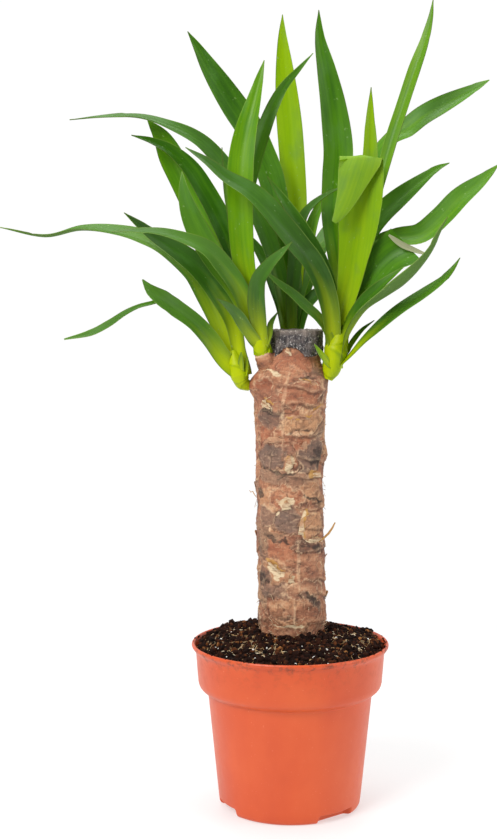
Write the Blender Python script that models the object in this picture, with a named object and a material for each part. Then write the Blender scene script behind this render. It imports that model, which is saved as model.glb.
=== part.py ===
"""Potted yucca: a cut cane with four leafy shoots and a wax seal on top, in soil, in a plastic nursery pot.

The frame is +Z up, with its origin at the centre of the pot's base. The front of the plant looks along -Y.
Sizes are in millimetres, and MM turns them into metres where a mesh is made. Angles are in degrees, from +X
towards +Y.
"""

import math

import bmesh
import bpy
from mathutils import Vector, noise

MM = 0.001
CLEAR = 0.3
SEAT_CLEAR = 0.45
GOLDEN_ANGLE = 137.5

# Pot: sides of every turned ring, wall, and outer profile as (radius, height)
ROUND = 44
WALL = 1.2
POT_SIDE = (
    (30.0, 0.0), (41.0, 0.0), (42.6, 0.7), (43.6, 2.2), (44.0, 5.0), (50.7, 71.0), (51.6, 73.4),
    (54.2, 76.0), (56.0, 78.2), (56.7, 81.0), (57.8, 95.0),
)
RIM_OUTSIDE = ((58.3, 97.2), (59.8, 98.6), (60.5, 99.8), (60.4, 100.9), (59.8, 101.5))
RIM_INSIDE = ((57.4, 98.4), (58.9, 101.4), (59.2, 103.0))

# Drain recesses round the pot's bottom edge, and the hole through each roof
NOTCH_CENTRES = (34.0, 118.0, 202.5, 309.5)
NOTCH_HEIGHT = 5.0
NOTCH_FOOT_HALF, NOTCH_ROOF_HALF = 13.6, 12.0
NOTCH_INNER, NOTCH_OUTER = 37.0, 52.0
DRAIN_RADIUS, DRAIN_REACH, DRAIN_SIDES = 2.2, 40.2, 12
PAST_FACE = 1.0

# Soil, mounded from the rim up to the cane
SOIL_EDGE_HEIGHT, SOIL_MOUND_HEIGHT = 97.5, 109.0
SOIL_RINGS = (50.0, 43.0, 36.0, 29.5, 24.0)
SOIL_LUMP, SOIL_LUMP_SIZE = 1.6, 13.0
SOIL_SLOPE_POWER = 0.8

# Cane: its lean is (height, x of the axis), and its radius is (height, radius).
# A seat is a swelling where a shoot breaks: angle, height, how far it stands out, half angle, half height.
CANE_SIDES = 26
CANE_FOOT, CANE_TOP = 30.0, 291.5
SOIL_LINE = 113.0
CANE_STEP = 5.0
BURIED_RADIUS = 20.0
CANE_LEAN = (
    (CANE_FOOT, 1.5), (SOIL_LINE, 1.5), (150, 0.5), (200, -0.4), (250, 0.0), (268, 2.9), (CANE_TOP, 2.9),
)
CANE_RADIUS = (
    (SOIL_LINE, 20.0), (116, 20.5), (200, 20.4), (240, 21.0), (256, 21.0), (263, 19.4), (269, 17.2),
    (274, 15.7), (CANE_TOP, 15.3),
)
SCAR_SPACING, SCAR_RELIEF, SCAR_HALF, SCAR_TILT = 14.5, 0.9, 2.6, 2.6
SCARS_START, SCARS_END = SOIL_LINE + 3.0, 262.0
SEATS = (
    (186, 259.0, 6.5, 24, 5.5), (214, 265.0, 2.5, 22, 5.0), (344, 264.0, 3.5, 24, 7.0),
    (88, 264.0, 3.0, 26, 7.0),
)

# Wax cap: a lobe of its edge is angle, lowest height, half angle. The brow is (inwards, below the top).
WAX_SIDES = 32
WAX_INNER, WAX_OUTER = 15.8, 17.0
WAX_FLARE, WAX_SOFT = 0.15, 0.2
WAX_TOP = 293.2
WAX_BROW = ((0.2, 1.2), (1.0, 0.1), (3.0, 0.0))
WAX_LOBES = ((235, 275.6, 26), (303, 277.0, 20), (20, 276.4, 24), (90, 279.0, 25), (160, 277.5, 22))
WAX_EDGE = 282.5

# Leaves: spacing of sections along a blade, thickness, blunt tip, width at the neck, and depth of the channel
LEAF_STEP = 14.0
LEAF_THICK, LEAF_THICK_ROOT = 0.75, 1.1
LEAF_TIP = 1.0
NECK = 0.36
CHANNEL, CHANNEL_ROOT = 0.13, 0.3
LEAF_ROOT_SHARE = 0.4
EDGE_WAVE, EDGE_WAVE_TURNS, EDGE_WAVE_LEAST_WIDTH = 0.5, 9.0, 6.0
ROOT_OFFSET = 0.9
STEM_SIDES = 12
CURVE_FINENESS = 24
TANGENT_REACH = 0.25


def paint(name, colour, roughness):
    """A Principled material of one colour."""
    made = bpy.data.materials.new(name)
    made.use_nodes = True
    shader = made.node_tree.nodes["Principled BSDF"]
    shader.inputs["Base Color"].default_value = (*colour, 1.0)
    shader.inputs["Roughness"].default_value = roughness
    shader.inputs["Metallic"].default_value = 0.0
    return made


def add_object(name, bm):
    """An object made from a bmesh in millimetres."""
    bmesh.ops.scale(bm, vec=(MM, MM, MM), verts=bm.verts)
    bmesh.ops.recalc_face_normals(bm, faces=bm.faces)
    mesh = bpy.data.meshes.new(name)
    bm.to_mesh(mesh)
    bm.free()
    made = bpy.data.objects.new(name, mesh)
    bpy.context.scene.collection.objects.link(made)
    return made


def skin(name, rings):
    """A closed body through rings of points, all of one count, with a flat cap on the first and the last."""
    bm = bmesh.new()
    loops = [[bm.verts.new(point) for point in ring] for ring in rings]
    for low, high in zip(loops, loops[1:]):
        for i in range(len(low)):
            j = (i + 1) % len(low)
            bm.faces.new((low[i], low[j], high[j]))
            bm.faces.new((low[i], high[j], high[i]))
    bm.faces.new(reversed(loops[0]))
    bm.faces.new(loops[-1])
    return add_object(name, bm)


def apply_boolean(target, operation, others, solver):
    """Joins the others to the target, or cuts them from it, and removes them."""
    operands = bpy.data.collections.new("operands")
    for other in others:
        operands.objects.link(other)
    modifier = target.modifiers.new("boolean", "BOOLEAN")
    modifier.operation = operation
    modifier.operand_type = "COLLECTION"
    modifier.collection = operands
    modifier.solver = solver
    graph = bpy.context.evaluated_depsgraph_get()
    result = bpy.data.meshes.new_from_object(target.evaluated_get(graph))
    target.modifiers.remove(modifier)
    target.data = result
    for other in list(operands.objects):
        bpy.data.objects.remove(other)
    bpy.data.collections.remove(operands)


def keep_largest_shell(made):
    """Fills the hollows that crossing leaves shut in, and drops scraps: only the largest shell stays."""
    bm = bmesh.new()
    bm.from_mesh(made.data)
    unseen = set(bm.verts)
    shells = []
    while unseen:
        shell, edge = set(), [unseen.pop()]
        while edge:
            vert = edge.pop()
            shell.add(vert)
            for link in vert.link_edges:
                other = link.other_vert(vert)
                if other in unseen:
                    unseen.remove(other)
                    edge.append(other)
        shells.append(shell)
    shells.sort(key=len)
    for shell in shells[:-1]:
        bmesh.ops.delete(bm, geom=list(shell), context="VERTS")
    bm.to_mesh(made.data)
    bm.free()


def finish(made, name, colour, roughness, crease=35.0):
    """Names the object, paints it, and shades it smooth up to the crease angle."""
    made.name = name
    made.data.materials.clear()
    made.data.materials.append(paint(name, colour, roughness))
    made.data.shade_smooth()
    made.data.set_sharp_from_angle(angle=math.radians(crease))


def polar(radius, angle, height):
    turn = math.radians(angle)
    return Vector((radius * math.cos(turn), radius * math.sin(turn), height))


def ring(radius, height, sides=ROUND):
    return [polar(radius, 360 * i / sides, height) for i in range(sides)]


def along(table, place):
    """The value at a place between the rows of a table of (place, value)."""
    for (start, low), (end, high) in zip(table, table[1:]):
        if place <= end:
            share = max(0.0, (place - start) / (end - start))
            return low + (high - low) * share
    return table[-1][1]


def angle_apart(a, b):
    return (a - b + 180) % 360 - 180


def inset(profile, distance):
    """The profile of a turned wall's inner face, which lies this far in from its outer face."""
    moved = []
    for i, point in enumerate(profile):
        before = profile[max(i - 1, 0)]
        after = profile[min(i + 1, len(profile) - 1)]
        run, rise = after[0] - before[0], after[1] - before[1]
        length = math.hypot(run, rise)
        moved.append((point[0] - distance * rise / length, point[1] + distance * run / length))
    return moved


def notch_block(centre, grow):
    """The space that one drain recess takes out of the pot's bottom edge, grown by a wall's thickness."""
    bm = bmesh.new()
    levels = ((-PAST_FACE, NOTCH_FOOT_HALF + grow), (NOTCH_HEIGHT + grow, NOTCH_ROOF_HALF + grow))
    corners = []
    for height, half in levels:
        for reach, side in (
            (NOTCH_INNER - grow, -half), (NOTCH_OUTER, -half), (NOTCH_OUTER, half),
            (NOTCH_INNER - grow, half)
        ):
            turn = math.radians(centre)
            x = reach * math.cos(turn) - side * math.sin(turn)
            y = reach * math.sin(turn) + side * math.cos(turn)
            corners.append(bm.verts.new((x, y, height)))
    for quad in ((3, 2, 1, 0), (4, 5, 6, 7), (0, 1, 5, 4), (1, 2, 6, 5), (2, 3, 7, 6), (3, 0, 4, 7)):
        bm.faces.new([corners[i] for i in quad])
    return add_object("notch", bm)


def drain_pin(centre):
    """The cutter of the round hole through a recess's roof."""
    middle = polar(DRAIN_REACH, centre, 0)
    heights = (NOTCH_HEIGHT - PAST_FACE, NOTCH_HEIGHT + WALL + PAST_FACE)
    return skin("drain", [[middle + point for point in ring(DRAIN_RADIUS, z, DRAIN_SIDES)] for z in heights])


def make_pot():
    pot = skin("pot", [ring(r, z) for r, z in POT_SIDE + RIM_OUTSIDE])
    apply_boolean(pot, "DIFFERENCE", [notch_block(c, 0) for c in NOTCH_CENTRES], "EXACT")
    cavity = skin("cavity", [ring(r, z) for r, z in inset(POT_SIDE, WALL) + list(RIM_INSIDE)])
    apply_boolean(cavity, "DIFFERENCE", [notch_block(c, WALL) for c in NOTCH_CENTRES], "EXACT")
    apply_boolean(pot, "DIFFERENCE", [cavity], "EXACT")
    apply_boolean(pot, "DIFFERENCE", [drain_pin(c) for c in NOTCH_CENTRES], "EXACT")
    finish(pot, "pot", (0.73, 0.13, 0.045), 0.42)


def soil_height(x, y):
    """The mounded soil's surface: highest at the cane, with soft lumps that die out at rim and hole."""
    reach = math.hypot(x, y)
    edge, hole = POT_SIDE[-1][0], BURIED_RADIUS
    share = min(1.0, max(0.0, (edge - reach) / (edge - hole)))
    lump = noise.noise(Vector((x, y, SOIL_MOUND_HEIGHT)) / SOIL_LUMP_SIZE) * SOIL_LUMP
    lump *= math.sin(math.pi * share)
    return SOIL_EDGE_HEIGHT + (SOIL_MOUND_HEIGHT - SOIL_EDGE_HEIGHT) * share ** SOIL_SLOPE_POWER + lump


def make_soil():
    side = inset(POT_SIDE, WALL + CLEAR)[:-1]
    rings = [ring(r, z) for r, z in side]
    edge = side[-1][0]
    rings.append(ring(edge, SOIL_EDGE_HEIGHT - PAST_FACE))
    hole = Vector((CANE_LEAN[0][1], 0, 0))
    hole_radius = BURIED_RADIUS + CLEAR
    for reach in SOIL_RINGS + (hole_radius,):
        centre = hole * (edge - reach) / (edge - hole_radius)
        flat = [centre + point for point in ring(reach, 0)]
        rings.append([Vector((p.x, p.y, soil_height(p.x, p.y))) for p in flat])
    rings.append([hole + point for point in ring(hole_radius, CANE_FOOT - CLEAR)])
    soil = skin("soil", rings)
    apply_boolean(soil, "DIFFERENCE", [notch_block(c, WALL + CLEAR) for c in NOTCH_CENTRES], "EXACT")
    finish(soil, "soil", (0.03, 0.02, 0.014), 0.95, 60.0)


def scar_relief(angle, height):
    """How far a leaf scar's ridge stands out of the bark, at one place on the cane."""
    if not SCARS_START < height < SCARS_END:
        return 0.0
    nearest = SCAR_SPACING
    first = int(SOIL_LINE / SCAR_SPACING) - 1
    for number in range(first, int(SCARS_END / SCAR_SPACING) + 2):
        slant = SCAR_TILT * math.sin(math.radians(angle + number * GOLDEN_ANGLE))
        line = number * SCAR_SPACING + slant
        nearest = min(nearest, abs(height - line))
    return SCAR_RELIEF * math.exp(-(nearest / SCAR_HALF) ** 2)


def cane_radius(angle, height):
    radius = along(CANE_RADIUS, height) + scar_relief(angle, height)
    for seat_angle, seat_height, stands_out, half_angle, half_height in SEATS:
        turn = angle_apart(angle, seat_angle) / half_angle
        rise = (height - seat_height) / half_height
        radius += stands_out * math.exp(-turn * turn - rise * rise)
    return radius


def cane_body(name, grow):
    """The cane, or the same shape grown on every side, as the cutter of what sits on it."""
    steps = int((CANE_TOP - SOIL_LINE) / CANE_STEP)
    heights = [CANE_FOOT - grow] + [SOIL_LINE + (CANE_TOP - SOIL_LINE) * i / steps for i in range(steps + 1)]
    heights[-1] += grow
    rings = []
    for height in heights:
        centre = Vector((along(CANE_LEAN, height), 0, 0))
        angles = [360 * i / CANE_SIDES for i in range(CANE_SIDES)]
        if height <= SOIL_LINE:
            rings.append([centre + polar(BURIED_RADIUS + grow, angle, height) for angle in angles])
        else:
            radii = [cane_radius(angle, height) + grow for angle in angles]
            rings.append([centre + polar(radius, angle, height) for radius, angle in zip(radii, angles)])
    return skin(name, rings)


def make_cane():
    finish(cane_body("cane", 0), "cane", (0.36, 0.2, 0.12), 0.8, 50.0)


def wax_edge(angle):
    """The height of the wax's ragged lower edge, which runs down in lobes."""
    edge = WAX_EDGE
    for lobe_angle, lowest, half in WAX_LOBES:
        turn = angle_apart(angle, lobe_angle) / half
        edge = min(edge, WAX_EDGE - (WAX_EDGE - lowest) * math.exp(-turn * turn * turn * turn))
    return edge


def make_wax_seal():
    centre = Vector((CANE_LEAN[-1][1], 0, 0))
    angles = [360 * i / WAX_SIDES for i in range(WAX_SIDES)]

    def turn(radius, height):
        return [centre + polar(radius, angle, height) for angle in angles]

    def skirt(radius, rise):
        return [centre + polar(radius, angle, wax_edge(angle) + rise) for angle in angles]

    roof = CANE_TOP + CLEAR
    rings = [
        turn(WAX_INNER, roof), turn(WAX_INNER, WAX_EDGE + PAST_FACE), skirt(WAX_INNER + WAX_FLARE, 0),
        skirt(WAX_OUTER - WAX_SOFT, 0), skirt(WAX_OUTER, WAX_SOFT), turn(WAX_OUTER, WAX_EDGE + PAST_FACE),
    ]
    rings += [turn(WAX_OUTER - inwards, WAX_TOP - below) for inwards, below in WAX_BROW]
    finish(skin("wax_seal", rings), "wax_seal", (0.05, 0.05, 0.055), 0.6, 50.0)


def smooth_point(points, place):
    """A point of the smooth curve through the points, at a place counted in points."""
    last = len(points) - 1
    i = min(int(place), last - 1)
    t = place - i
    p1, p2 = points[i], points[i + 1]
    p0 = points[i - 1] if i > 0 else p1 * 2 - p2
    p3 = points[i + 2] if i + 2 <= last else p2 * 2 - p1
    bend = (p0 * 2 - p1 * 5 + p2 * 4 - p3) * t * t + (p1 * 3 - p0 - p2 * 3 + p3) * t * t * t
    return (p1 * 2 + (p2 - p0) * t + bend) * 0.5


def places_of(points, step):
    """Places along the curve, counted in points, that lie about one step apart."""
    count = (len(points) - 1) * CURVE_FINENESS
    places = [i / CURVE_FINENESS for i in range(count + 1)]
    lengths = [0.0]
    for a, b in zip(places, places[1:]):
        lengths.append(lengths[-1] + (smooth_point(points, b) - smooth_point(points, a)).length)
    pieces = max(5, round(lengths[-1] / step))
    chosen = []
    for k in range(pieces + 1):
        target = lengths[-1] * k / pieces
        chosen.append(min(range(count + 1), key=lambda n: abs(lengths[n] - target)))
    return [(places[n], lengths[n] / lengths[-1]) for n in chosen]


def between(values, share):
    """A value of a list that is spread evenly from 0 to 1."""
    place = share * (len(values) - 1)
    i = min(int(place), len(values) - 2)
    return values[i] + (values[i + 1] - values[i]) * (place - i)


def blade_width(share, belly):
    """The width of a leaf at a share of its length, as a share of its widest: neck, belly, long point."""
    if share < belly:
        return NECK + (1 - NECK) * math.sin(0.5 * math.pi * share / belly) ** 1.3
    return math.cos(0.5 * math.pi * (share - belly) / (1 - belly)) ** 0.85


def leaf_stations(leaf):
    """Where the leaf's sections stand: midrib point, direction, upper side, width and share of the length."""
    points = [Vector(p) for p in leaf["points"]]
    faces = [Vector(f) for f in leaf["faces"]]
    last = len(points) - 1
    if leaf["folded"]:
        lengths = [0.0]
        for a, b in zip(points, points[1:]):
            lengths.append(lengths[-1] + (b - a).length)
        places = [(float(i), lengths[i] / lengths[-1]) for i in range(last + 1)]
    else:
        places = places_of(points, LEAF_STEP)
    rows = []
    for place, share in places:
        middle = smooth_point(points, place)
        ahead = smooth_point(points, min(place + TANGENT_REACH, last))
        behind = smooth_point(points, max(place - TANGENT_REACH, 0))
        direction = (ahead - behind).normalized()
        upper = between(faces, place / last)
        upper = (upper - direction * upper.dot(direction)).normalized()
        if leaf["widths"]:
            width = between(leaf["widths"], place / last)
        else:
            width = leaf["width"] * blade_width(share, leaf["belly"])
        rows.append((middle, direction, upper, max(width, LEAF_TIP), share))
    return rows


def leaf_body(name, leaf):
    """A thin channelled blade, whose two faces are split into triangles alike."""
    bm = bmesh.new()
    loops = []
    for middle, direction, upper, width, share in leaf_stations(leaf):
        side = direction.cross(upper)
        opened = min(1.0, share / LEAF_ROOT_SHARE)
        thick = LEAF_THICK_ROOT + (LEAF_THICK - LEAF_THICK_ROOT) * opened
        channel = CHANNEL_ROOT + (CHANNEL - CHANNEL_ROOT) * opened
        wave = 0.0
        if width > EDGE_WAVE_LEAST_WIDTH:
            wave = EDGE_WAVE * math.sin(EDGE_WAVE_TURNS * share + leaf["width"])
        left = middle - side * width / 2 + upper * (width * channel + wave)
        right = middle + side * width / 2 + upper * (width * channel - wave)
        half = upper * thick / 2
        section = (left + half, middle + half, right + half, right - half, middle - half, left - half)
        loops.append([bm.verts.new(point) for point in section])
    count = len(loops[0])
    for low, high in zip(loops, loops[1:]):
        for i in range(count):
            j = (i + 1) % count
            if i < count // 2:
                bm.faces.new((low[i], low[j], high[j]))
                bm.faces.new((low[i], high[j], high[i]))
            else:
                bm.faces.new((low[i], low[j], high[i]))
                bm.faces.new((low[j], high[j], high[i]))
    for loop in (loops[0], loops[-1]):
        bm.faces.new((loop[0], loop[1], loop[4], loop[5]))
        bm.faces.new((loop[1], loop[2], loop[3], loop[4]))
    return add_object(name, bm)


def leaf(points, width, faces, belly=0.55, widths=None, folded=False):
    """One leaf: its midrib from base to tip, its widest width, and which way its upper side looks."""
    return {
        "points": points, "width": width, "faces": faces, "belly": belly, "widths": widths, "folded": folded,
    }


def stem_body(name, points, radii):
    """The short stem that a shoot's leaves clasp, as a tapered round bar along a smooth curve."""
    points = [Vector(p) for p in points]
    last = len(points) - 1
    rings = []
    for step in range(2 * last + 1):
        place = step / 2
        middle = smooth_point(points, place)
        ahead = smooth_point(points, min(place + TANGENT_REACH, last))
        behind = smooth_point(points, max(place - TANGENT_REACH, 0))
        turn = (ahead - behind).to_track_quat("Z", "Y")
        radius = between(radii, place / last)
        rings.append([middle + turn @ polar(radius, 360 * i / STEM_SIDES, 0) for i in range(STEM_SIDES)])
    return skin(name, rings)


def make_shoot(name, stem, radii, root, leaves, colour):
    """A leafy shoot: its leaves start in the stem, and the cane is cut out of its seat."""
    shoot = stem_body(name, stem, radii)
    blades = []
    for number, row in enumerate(leaves):
        start = Vector(root) + polar(ROOT_OFFSET, number * GOLDEN_ANGLE, 0)
        row = {**row, "points": [start] + list(row["points"])}
        blades.append(leaf_body(f"{name}_{number}", row))
    apply_boolean(shoot, "UNION", blades, "MANIFOLD")
    apply_boolean(shoot, "DIFFERENCE", [cane_body("seat", SEAT_CLEAR)], "MANIFOLD")
    keep_largest_shell(shoot)
    finish(shoot, name, colour, 0.35, 50.0)


SHOOTS = {
    "shoot_left_low": {
        "stem": ((-20, -3, 256), (-27, -5, 261), (-30, -6, 270), (-32, -6, 281)),
        "radii": (6, 5.2, 4.2, 2.2),
        "root": (-29, -6, 266),
        "leaves": (
            # Lowest leaf, kinked halfway, its end hanging
            leaf(
                ((-36, -9, 274), (-42, -12, 281), (-51, -18, 291), (-62, -24, 301), (-75, -29, 310),
                 (-82, -32, 315), (-85, -33, 316), (-88, -34, 313), (-98, -36, 305), (-112, -39, 297),
                 (-132, -42, 289)),
                14, ((-0.6, -0.5, 0.6), (-0.3, -0.8, 0.6), (-0.2, -0.8, 0.6), (-0.5, -0.3, 0.9)),
                widths=(5, 6, 9.5, 13, 14.5, 13.5, 11.5, 9, 7.5, 6, 4, 1), folded=True,
            ),
            # Longest leaf, reaching far to the left
            leaf(
                ((-36, -4, 280), (-43, -2, 296), (-51, 0, 311), (-60, 3, 326), (-74, 6, 338), (-89, 8, 346),
                 (-106, 10, 350), (-128, 11, 352), (-150, 12, 349), (-177, 12, 355)),
                17,
                ((-0.6, -0.6, 0.5), (-0.4, -0.8, 0.4), (-0.2, -0.6, 0.8), (0, -0.6, 0.8), (0, -0.2, 1),
                 (0, 0.3, 1)),
                belly=0.5,
            ),
            # Dark leaf above it
            leaf(
                ((-31, -9, 281), (-34, -10, 298), (-42, -10, 313), (-54, -9, 329), (-68, -8, 340),
                 (-82, -7, 349), (-91, -6, 356), (-100, -5, 363)),
                13, ((-0.5, -0.7, 0.4), (-0.3, -0.8, 0.5), (-0.3, -0.7, 0.6)),
            ),
            # Small bract
            leaf(((-27, -10, 266), (-26, -11, 277)), 4, ((-0.8, -0.5, 0.3), (-0.6, -0.7, 0.3))),
            # Smaller bract
            leaf(((-30, -11, 270), (-30, -12, 280)), 3.5, ((-0.3, -0.9, 0.3), (-0.3, -0.9, 0.3))),
            # Back leaf, arching away
            leaf(
                ((-38, 20, 290), (-48, 50, 318), (-55, 80, 330), (-58, 105, 322)),
                14, ((-0.5, 0.3, 0.8), (0.2, -0.4, 0.9), (0.2, 0.2, 0.9)),
            ),
            # Back leaf, rising
            leaf(
                ((-34, 18, 292), (-42, 40, 325), (-50, 62, 350), (-58, 80, 362)),
                12, ((0.3, -0.6, 0.7), (0.4, -0.6, 0.7)),
            ),
        ),
        "colour": (0.09, 0.25, 0.02),
    },
    "shoot_left_high": {
        "stem": ((-10, -6, 266), (-15, -9, 274), (-18, -12, 284), (-20, -13, 294)),
        "radii": (5, 4.6, 4.2, 2.2),
        "root": (-16.5, -10.5, 278),
        "leaves": (
            # Tall upright leaf in front
            leaf(
                ((-18, -13, 285), (-21, -17, 302), (-25.6, -21, 320), (-28.5, -23, 337), (-30, -24, 360),
                 (-30, -24, 383), (-29, -23, 397), (-26.5, -22, 411), (-22, -20, 428.5),
                 (-16.4, -17, 450.7)),
                15.5, ((-0.2, -1, 0.1), (-0.2, -1, 0.1)), belly=0.6,
            ),
            # Leaf behind it, leaning right
            leaf(
                ((-18, -10, 288), (-22, -9, 311), (-26, -10, 331), (-27.7, -11, 355), (-26.5, -12, 376),
                 (-22, -11, 394.6), (-17, -10, 411), (-11.5, -9, 425), (-5, -8, 436.5), (4, -7, 447),
                 (12.6, -6, 456.5)),
                9.5, ((0.3, -0.9, 0.2), (0.4, -0.8, 0.3)), belly=0.6,
            ),
            # Short curved leaf over the wax
            leaf(
                ((-18.4, -17, 290), (-19.5, -20, 298), (-20.6, -27, 311), (-19, -35, 322.7),
                 (-13, -43, 331.7), (-7, -49, 338), (-1, -54, 344)),
                11, ((-0.1, -0.9, 0.4), (-0.2, -0.9, 0.4), (0.3, -0.8, 0.5)), belly=0.5,
            ),
            # Grey-green leaf, arching left
            leaf(
                ((-19.5, -14, 287), (-24.4, -19, 301.6), (-30, -25, 315.7), (-38.7, -30, 328.4),
                 (-49.7, -35, 340), (-65.3, -39, 346.7), (-79, -42, 350), (-94, -44, 350.5),
                 (-104, -45, 350)),
                12, ((-0.3, -0.8, 0.4), (-0.2, -0.7, 0.7), (-0.1, -0.5, 0.9)), belly=0.5,
            ),
            # Small low leaf
            leaf(
                ((-20, -15, 285), (-26, -20, 293), (-31.7, -25, 301.7), (-37.6, -29, 307.6),
                 (-44, -32, 312)),
                7.5, ((-0.4, -0.8, 0.4), (-0.2, -0.9, 0.4)),
            ),
            # Broad glossy leaf
            leaf(
                ((-19.3, -11, 287), (-26, -13, 305), (-34.2, -16, 320), (-43.6, -19, 333.2),
                 (-53, -21, 348.4), (-59.6, -22, 362.4), (-63.2, -22, 375), (-64.5, -21, 386)),
                14, ((-0.4, -0.85, 0.3), (-0.4, -0.85, 0.4)), belly=0.65,
            ),
            # Long dark leaf
            leaf(
                ((-18.6, -7, 288), (-24, -4, 309), (-30, -2, 327.6), (-36.8, -1, 345.6), (-44, 1, 361.2),
                 (-52.6, 3, 376.8), (-61.2, 4, 390), (-72.2, 5, 400.2), (-83.7, 5, 406), (-96, 4, 409.6)),
                14, ((0.2, -0.9, 0.3), (0.3, -0.8, 0.5)), belly=0.6,
            ),
            # Pale leaf behind it
            leaf(
                ((-18.6, -5, 289), (-27, 2, 311), (-36.8, 6, 331.3), (-47.3, 10, 349.5), (-57.2, 13, 366.5),
                 (-67, 15, 382.8), (-75.8, 16, 396.8), (-82.5, 16, 408.8), (-86.8, 15, 420.7)),
                15, ((-0.2, -0.9, 0.3), (-0.3, -0.9, 0.3)), belly=0.6,
            ),
            # Narrow leaf, edge on
            leaf(
                ((-19.2, -8, 289), (-24, 1, 317), (-32.5, 2, 344), (-38, 2, 367.8), (-40.5, 1, 385.5),
                 (-41.5, 0, 402)),
                5, ((0.3, -0.9, 0.2), (0.6, -0.6, 0.2)),
            ),
            # Small bract over the wax
            leaf(
                ((-13.5, -16, 290), (-12.5, -18, 297), (-8.3, -19, 304)),
                4, ((-0.1, -0.9, 0.4), (0.2, -0.8, 0.5)),
            ),
            # Small bract on the left
            leaf(((-22, -13, 284), (-28, -15, 290)), 3, ((-0.3, -0.8, 0.5), (-0.3, -0.8, 0.5))),
        ),
        "colour": (0.1, 0.28, 0.02),
    },
    "shoot_back": {
        "stem": ((1, 13, 260), (1, 21, 268), (1, 25, 281), (1, 26, 297)),
        "radii": (5, 5, 5, 2.6),
        "root": (1, 24, 278),
        "leaves": (
            # Long leaf, arching left
            leaf(
                ((0, 24, 290), (-1.8, 23, 315), (-6, 21, 334), (-12.2, 20, 348.6), (-20.3, 18, 364.4),
                 (-29, 16, 377), (-37.6, 13, 387), (-45.5, 11, 397), (-53.4, 9, 404.8), (-62.5, 7, 410.5),
                 (-74.7, 6, 415.8), (-86.2, 5, 419.8), (-97.7, 4, 421.8), (-115.8, 2, 421),
                 (-132.5, 0, 418.3)),
                12.5, ((0, -1, 0.2), (0.2, -0.9, 0.4), (0.2, -0.7, 0.7), (0, -0.3, 0.9)), belly=0.5,
            ),
            # Broad leaf, leaning left
            leaf(
                ((0, 27, 291), (-1, 30, 322), (-3, 32, 346.6), (-6, 34, 369), (-10, 34, 387.5),
                 (-16, 34, 402.2), (-23, 33, 416.5), (-31, 32, 430), (-39, 30, 442), (-47.5, 28, 454.5),
                 (-56, 26, 465.5), (-63.2, 24, 474.4)),
                15.5, ((0, -1, 0.1), (0.2, -1, 0.1)), belly=0.65,
            ),
            # Tall bright leaf
            leaf(
                ((1, 28, 291), (2.5, 34, 320), (3.5, 39, 345), (3.6, 42, 370), (2, 43, 395),
                 (0.3, 43, 416.5), (-1.8, 42, 438), (-3.6, 40, 459), (-4.6, 38, 474), (-4.6, 36, 486.5)),
                16, ((0, -1, 0), (0, -1, 0)), belly=0.65,
            ),
            # Narrow leaf, edge on
            leaf(
                ((-2.4, 24, 291), (-7.3, 24, 306), (-12.2, 25, 318.7), (-17.2, 27, 333.4),
                 (-23.3, 29, 345.7), (-30.8, 31, 355)),
                6, ((0.5, -0.2, 0.8), (0.6, 0.1, 0.8)),
            ),
            # Low leaf to the right
            leaf(
                ((4, 24, 290), (8.8, 25, 304), (15.2, 27, 312), (23.5, 30, 319.4), (33, 34, 328)),
                8, ((-0.5, -0.6, 0.6), (-0.4, -0.6, 0.7)),
            ),
            # Leaf to the right above it
            leaf(
                ((2.6, 25, 291), (6.5, 30, 314), (13, 34, 332.3), (21.5, 38, 344.9), (32.4, 41, 354.4)),
                9, ((-0.3, -0.8, 0.5), (-0.5, -0.5, 0.7)),
            ),
            # Rising leaf to the right
            leaf(
                ((3.3, 27, 293), (7.4, 36, 320), (11.6, 43, 345), (16.1, 47, 362.2), (22.7, 50, 376),
                 (28.4, 51, 387.4)),
                9, ((-0.3, -0.9, 0.2), (-0.3, -0.9, 0.3)),
            ),
            # Leaf arching to the front and right
            leaf(
                ((1.4, 23, 291), (1.3, 20, 309.6), (2.4, 14, 325.9), (3.5, 8, 341), (5, 1, 354),
                 (9.7, -5, 363.8), (16, -10, 370), (23.6, -14, 374.8), (31.2, -17, 377.8)),
                9, ((0, -1, 0.2), (-0.2, -0.8, 0.5), (-0.4, -0.6, 0.7)),
            ),
            # Back leaf, straight behind
            leaf(
                ((2, 45, 325), (3, 75, 360), (2, 110, 378), (0, 140, 375)),
                14, ((0, -0.7, 0.7), (0, -0.2, 1)),
            ),
            # Back leaf, to the left
            leaf(
                ((-3, 45, 330), (-8, 75, 370), (-20, 105, 396), (-34, 130, 403)),
                13, ((0.2, -0.6, 0.7), (0.2, -0.1, 1)),
            ),
            # Back leaf, to the right
            leaf(
                ((10, 42, 318), (24, 70, 349), (37, 95, 365), (49, 118, 368)),
                13, ((-0.2, -0.6, 0.7), (-0.2, -0.2, 1)),
            ),
        ),
        "colour": (0.13, 0.34, 0.02),
    },
    "shoot_right": {
        "stem": ((15, -3, 256), (23, -6, 264), (28, -7.5, 276), (30, -8, 291)),
        "radii": (6.5, 6.4, 5.8, 2.8),
        "root": (27, -7, 274),
        "leaves": (
            # Widest leaf, its end folded over to the front
            leaf(
                ((25.5, -8.5, 286), (29.7, -13, 302), (33.2, -18, 318), (35.6, -22, 335), (38, -25, 352.4),
                 (39.4, -27, 368.5), (39.9, -28, 380.6), (39.6, -28.5, 391.5), (39.5, -30.2, 394.2),
                 (38.5, -32, 391.5), (35.6, -33.5, 383), (31.6, -34.5, 371), (27, -35, 361),
                 (23.7, -35, 356)),
                26,
                ((-0.3, -0.9, 0.1), (-0.2, -1, 0.1), (-0.1, -1, 0), (0, -1, 0), (0, -1, 0), (0, -1, 0),
                 (0, -1, 0), (0, -1, 0), (0, -0.8, -0.6), (0, 0, -1), (0, 0.8, -0.6), (0, 1, 0), (0, 1, 0),
                 (0, 1, 0), (0, 1, 0)),
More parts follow.
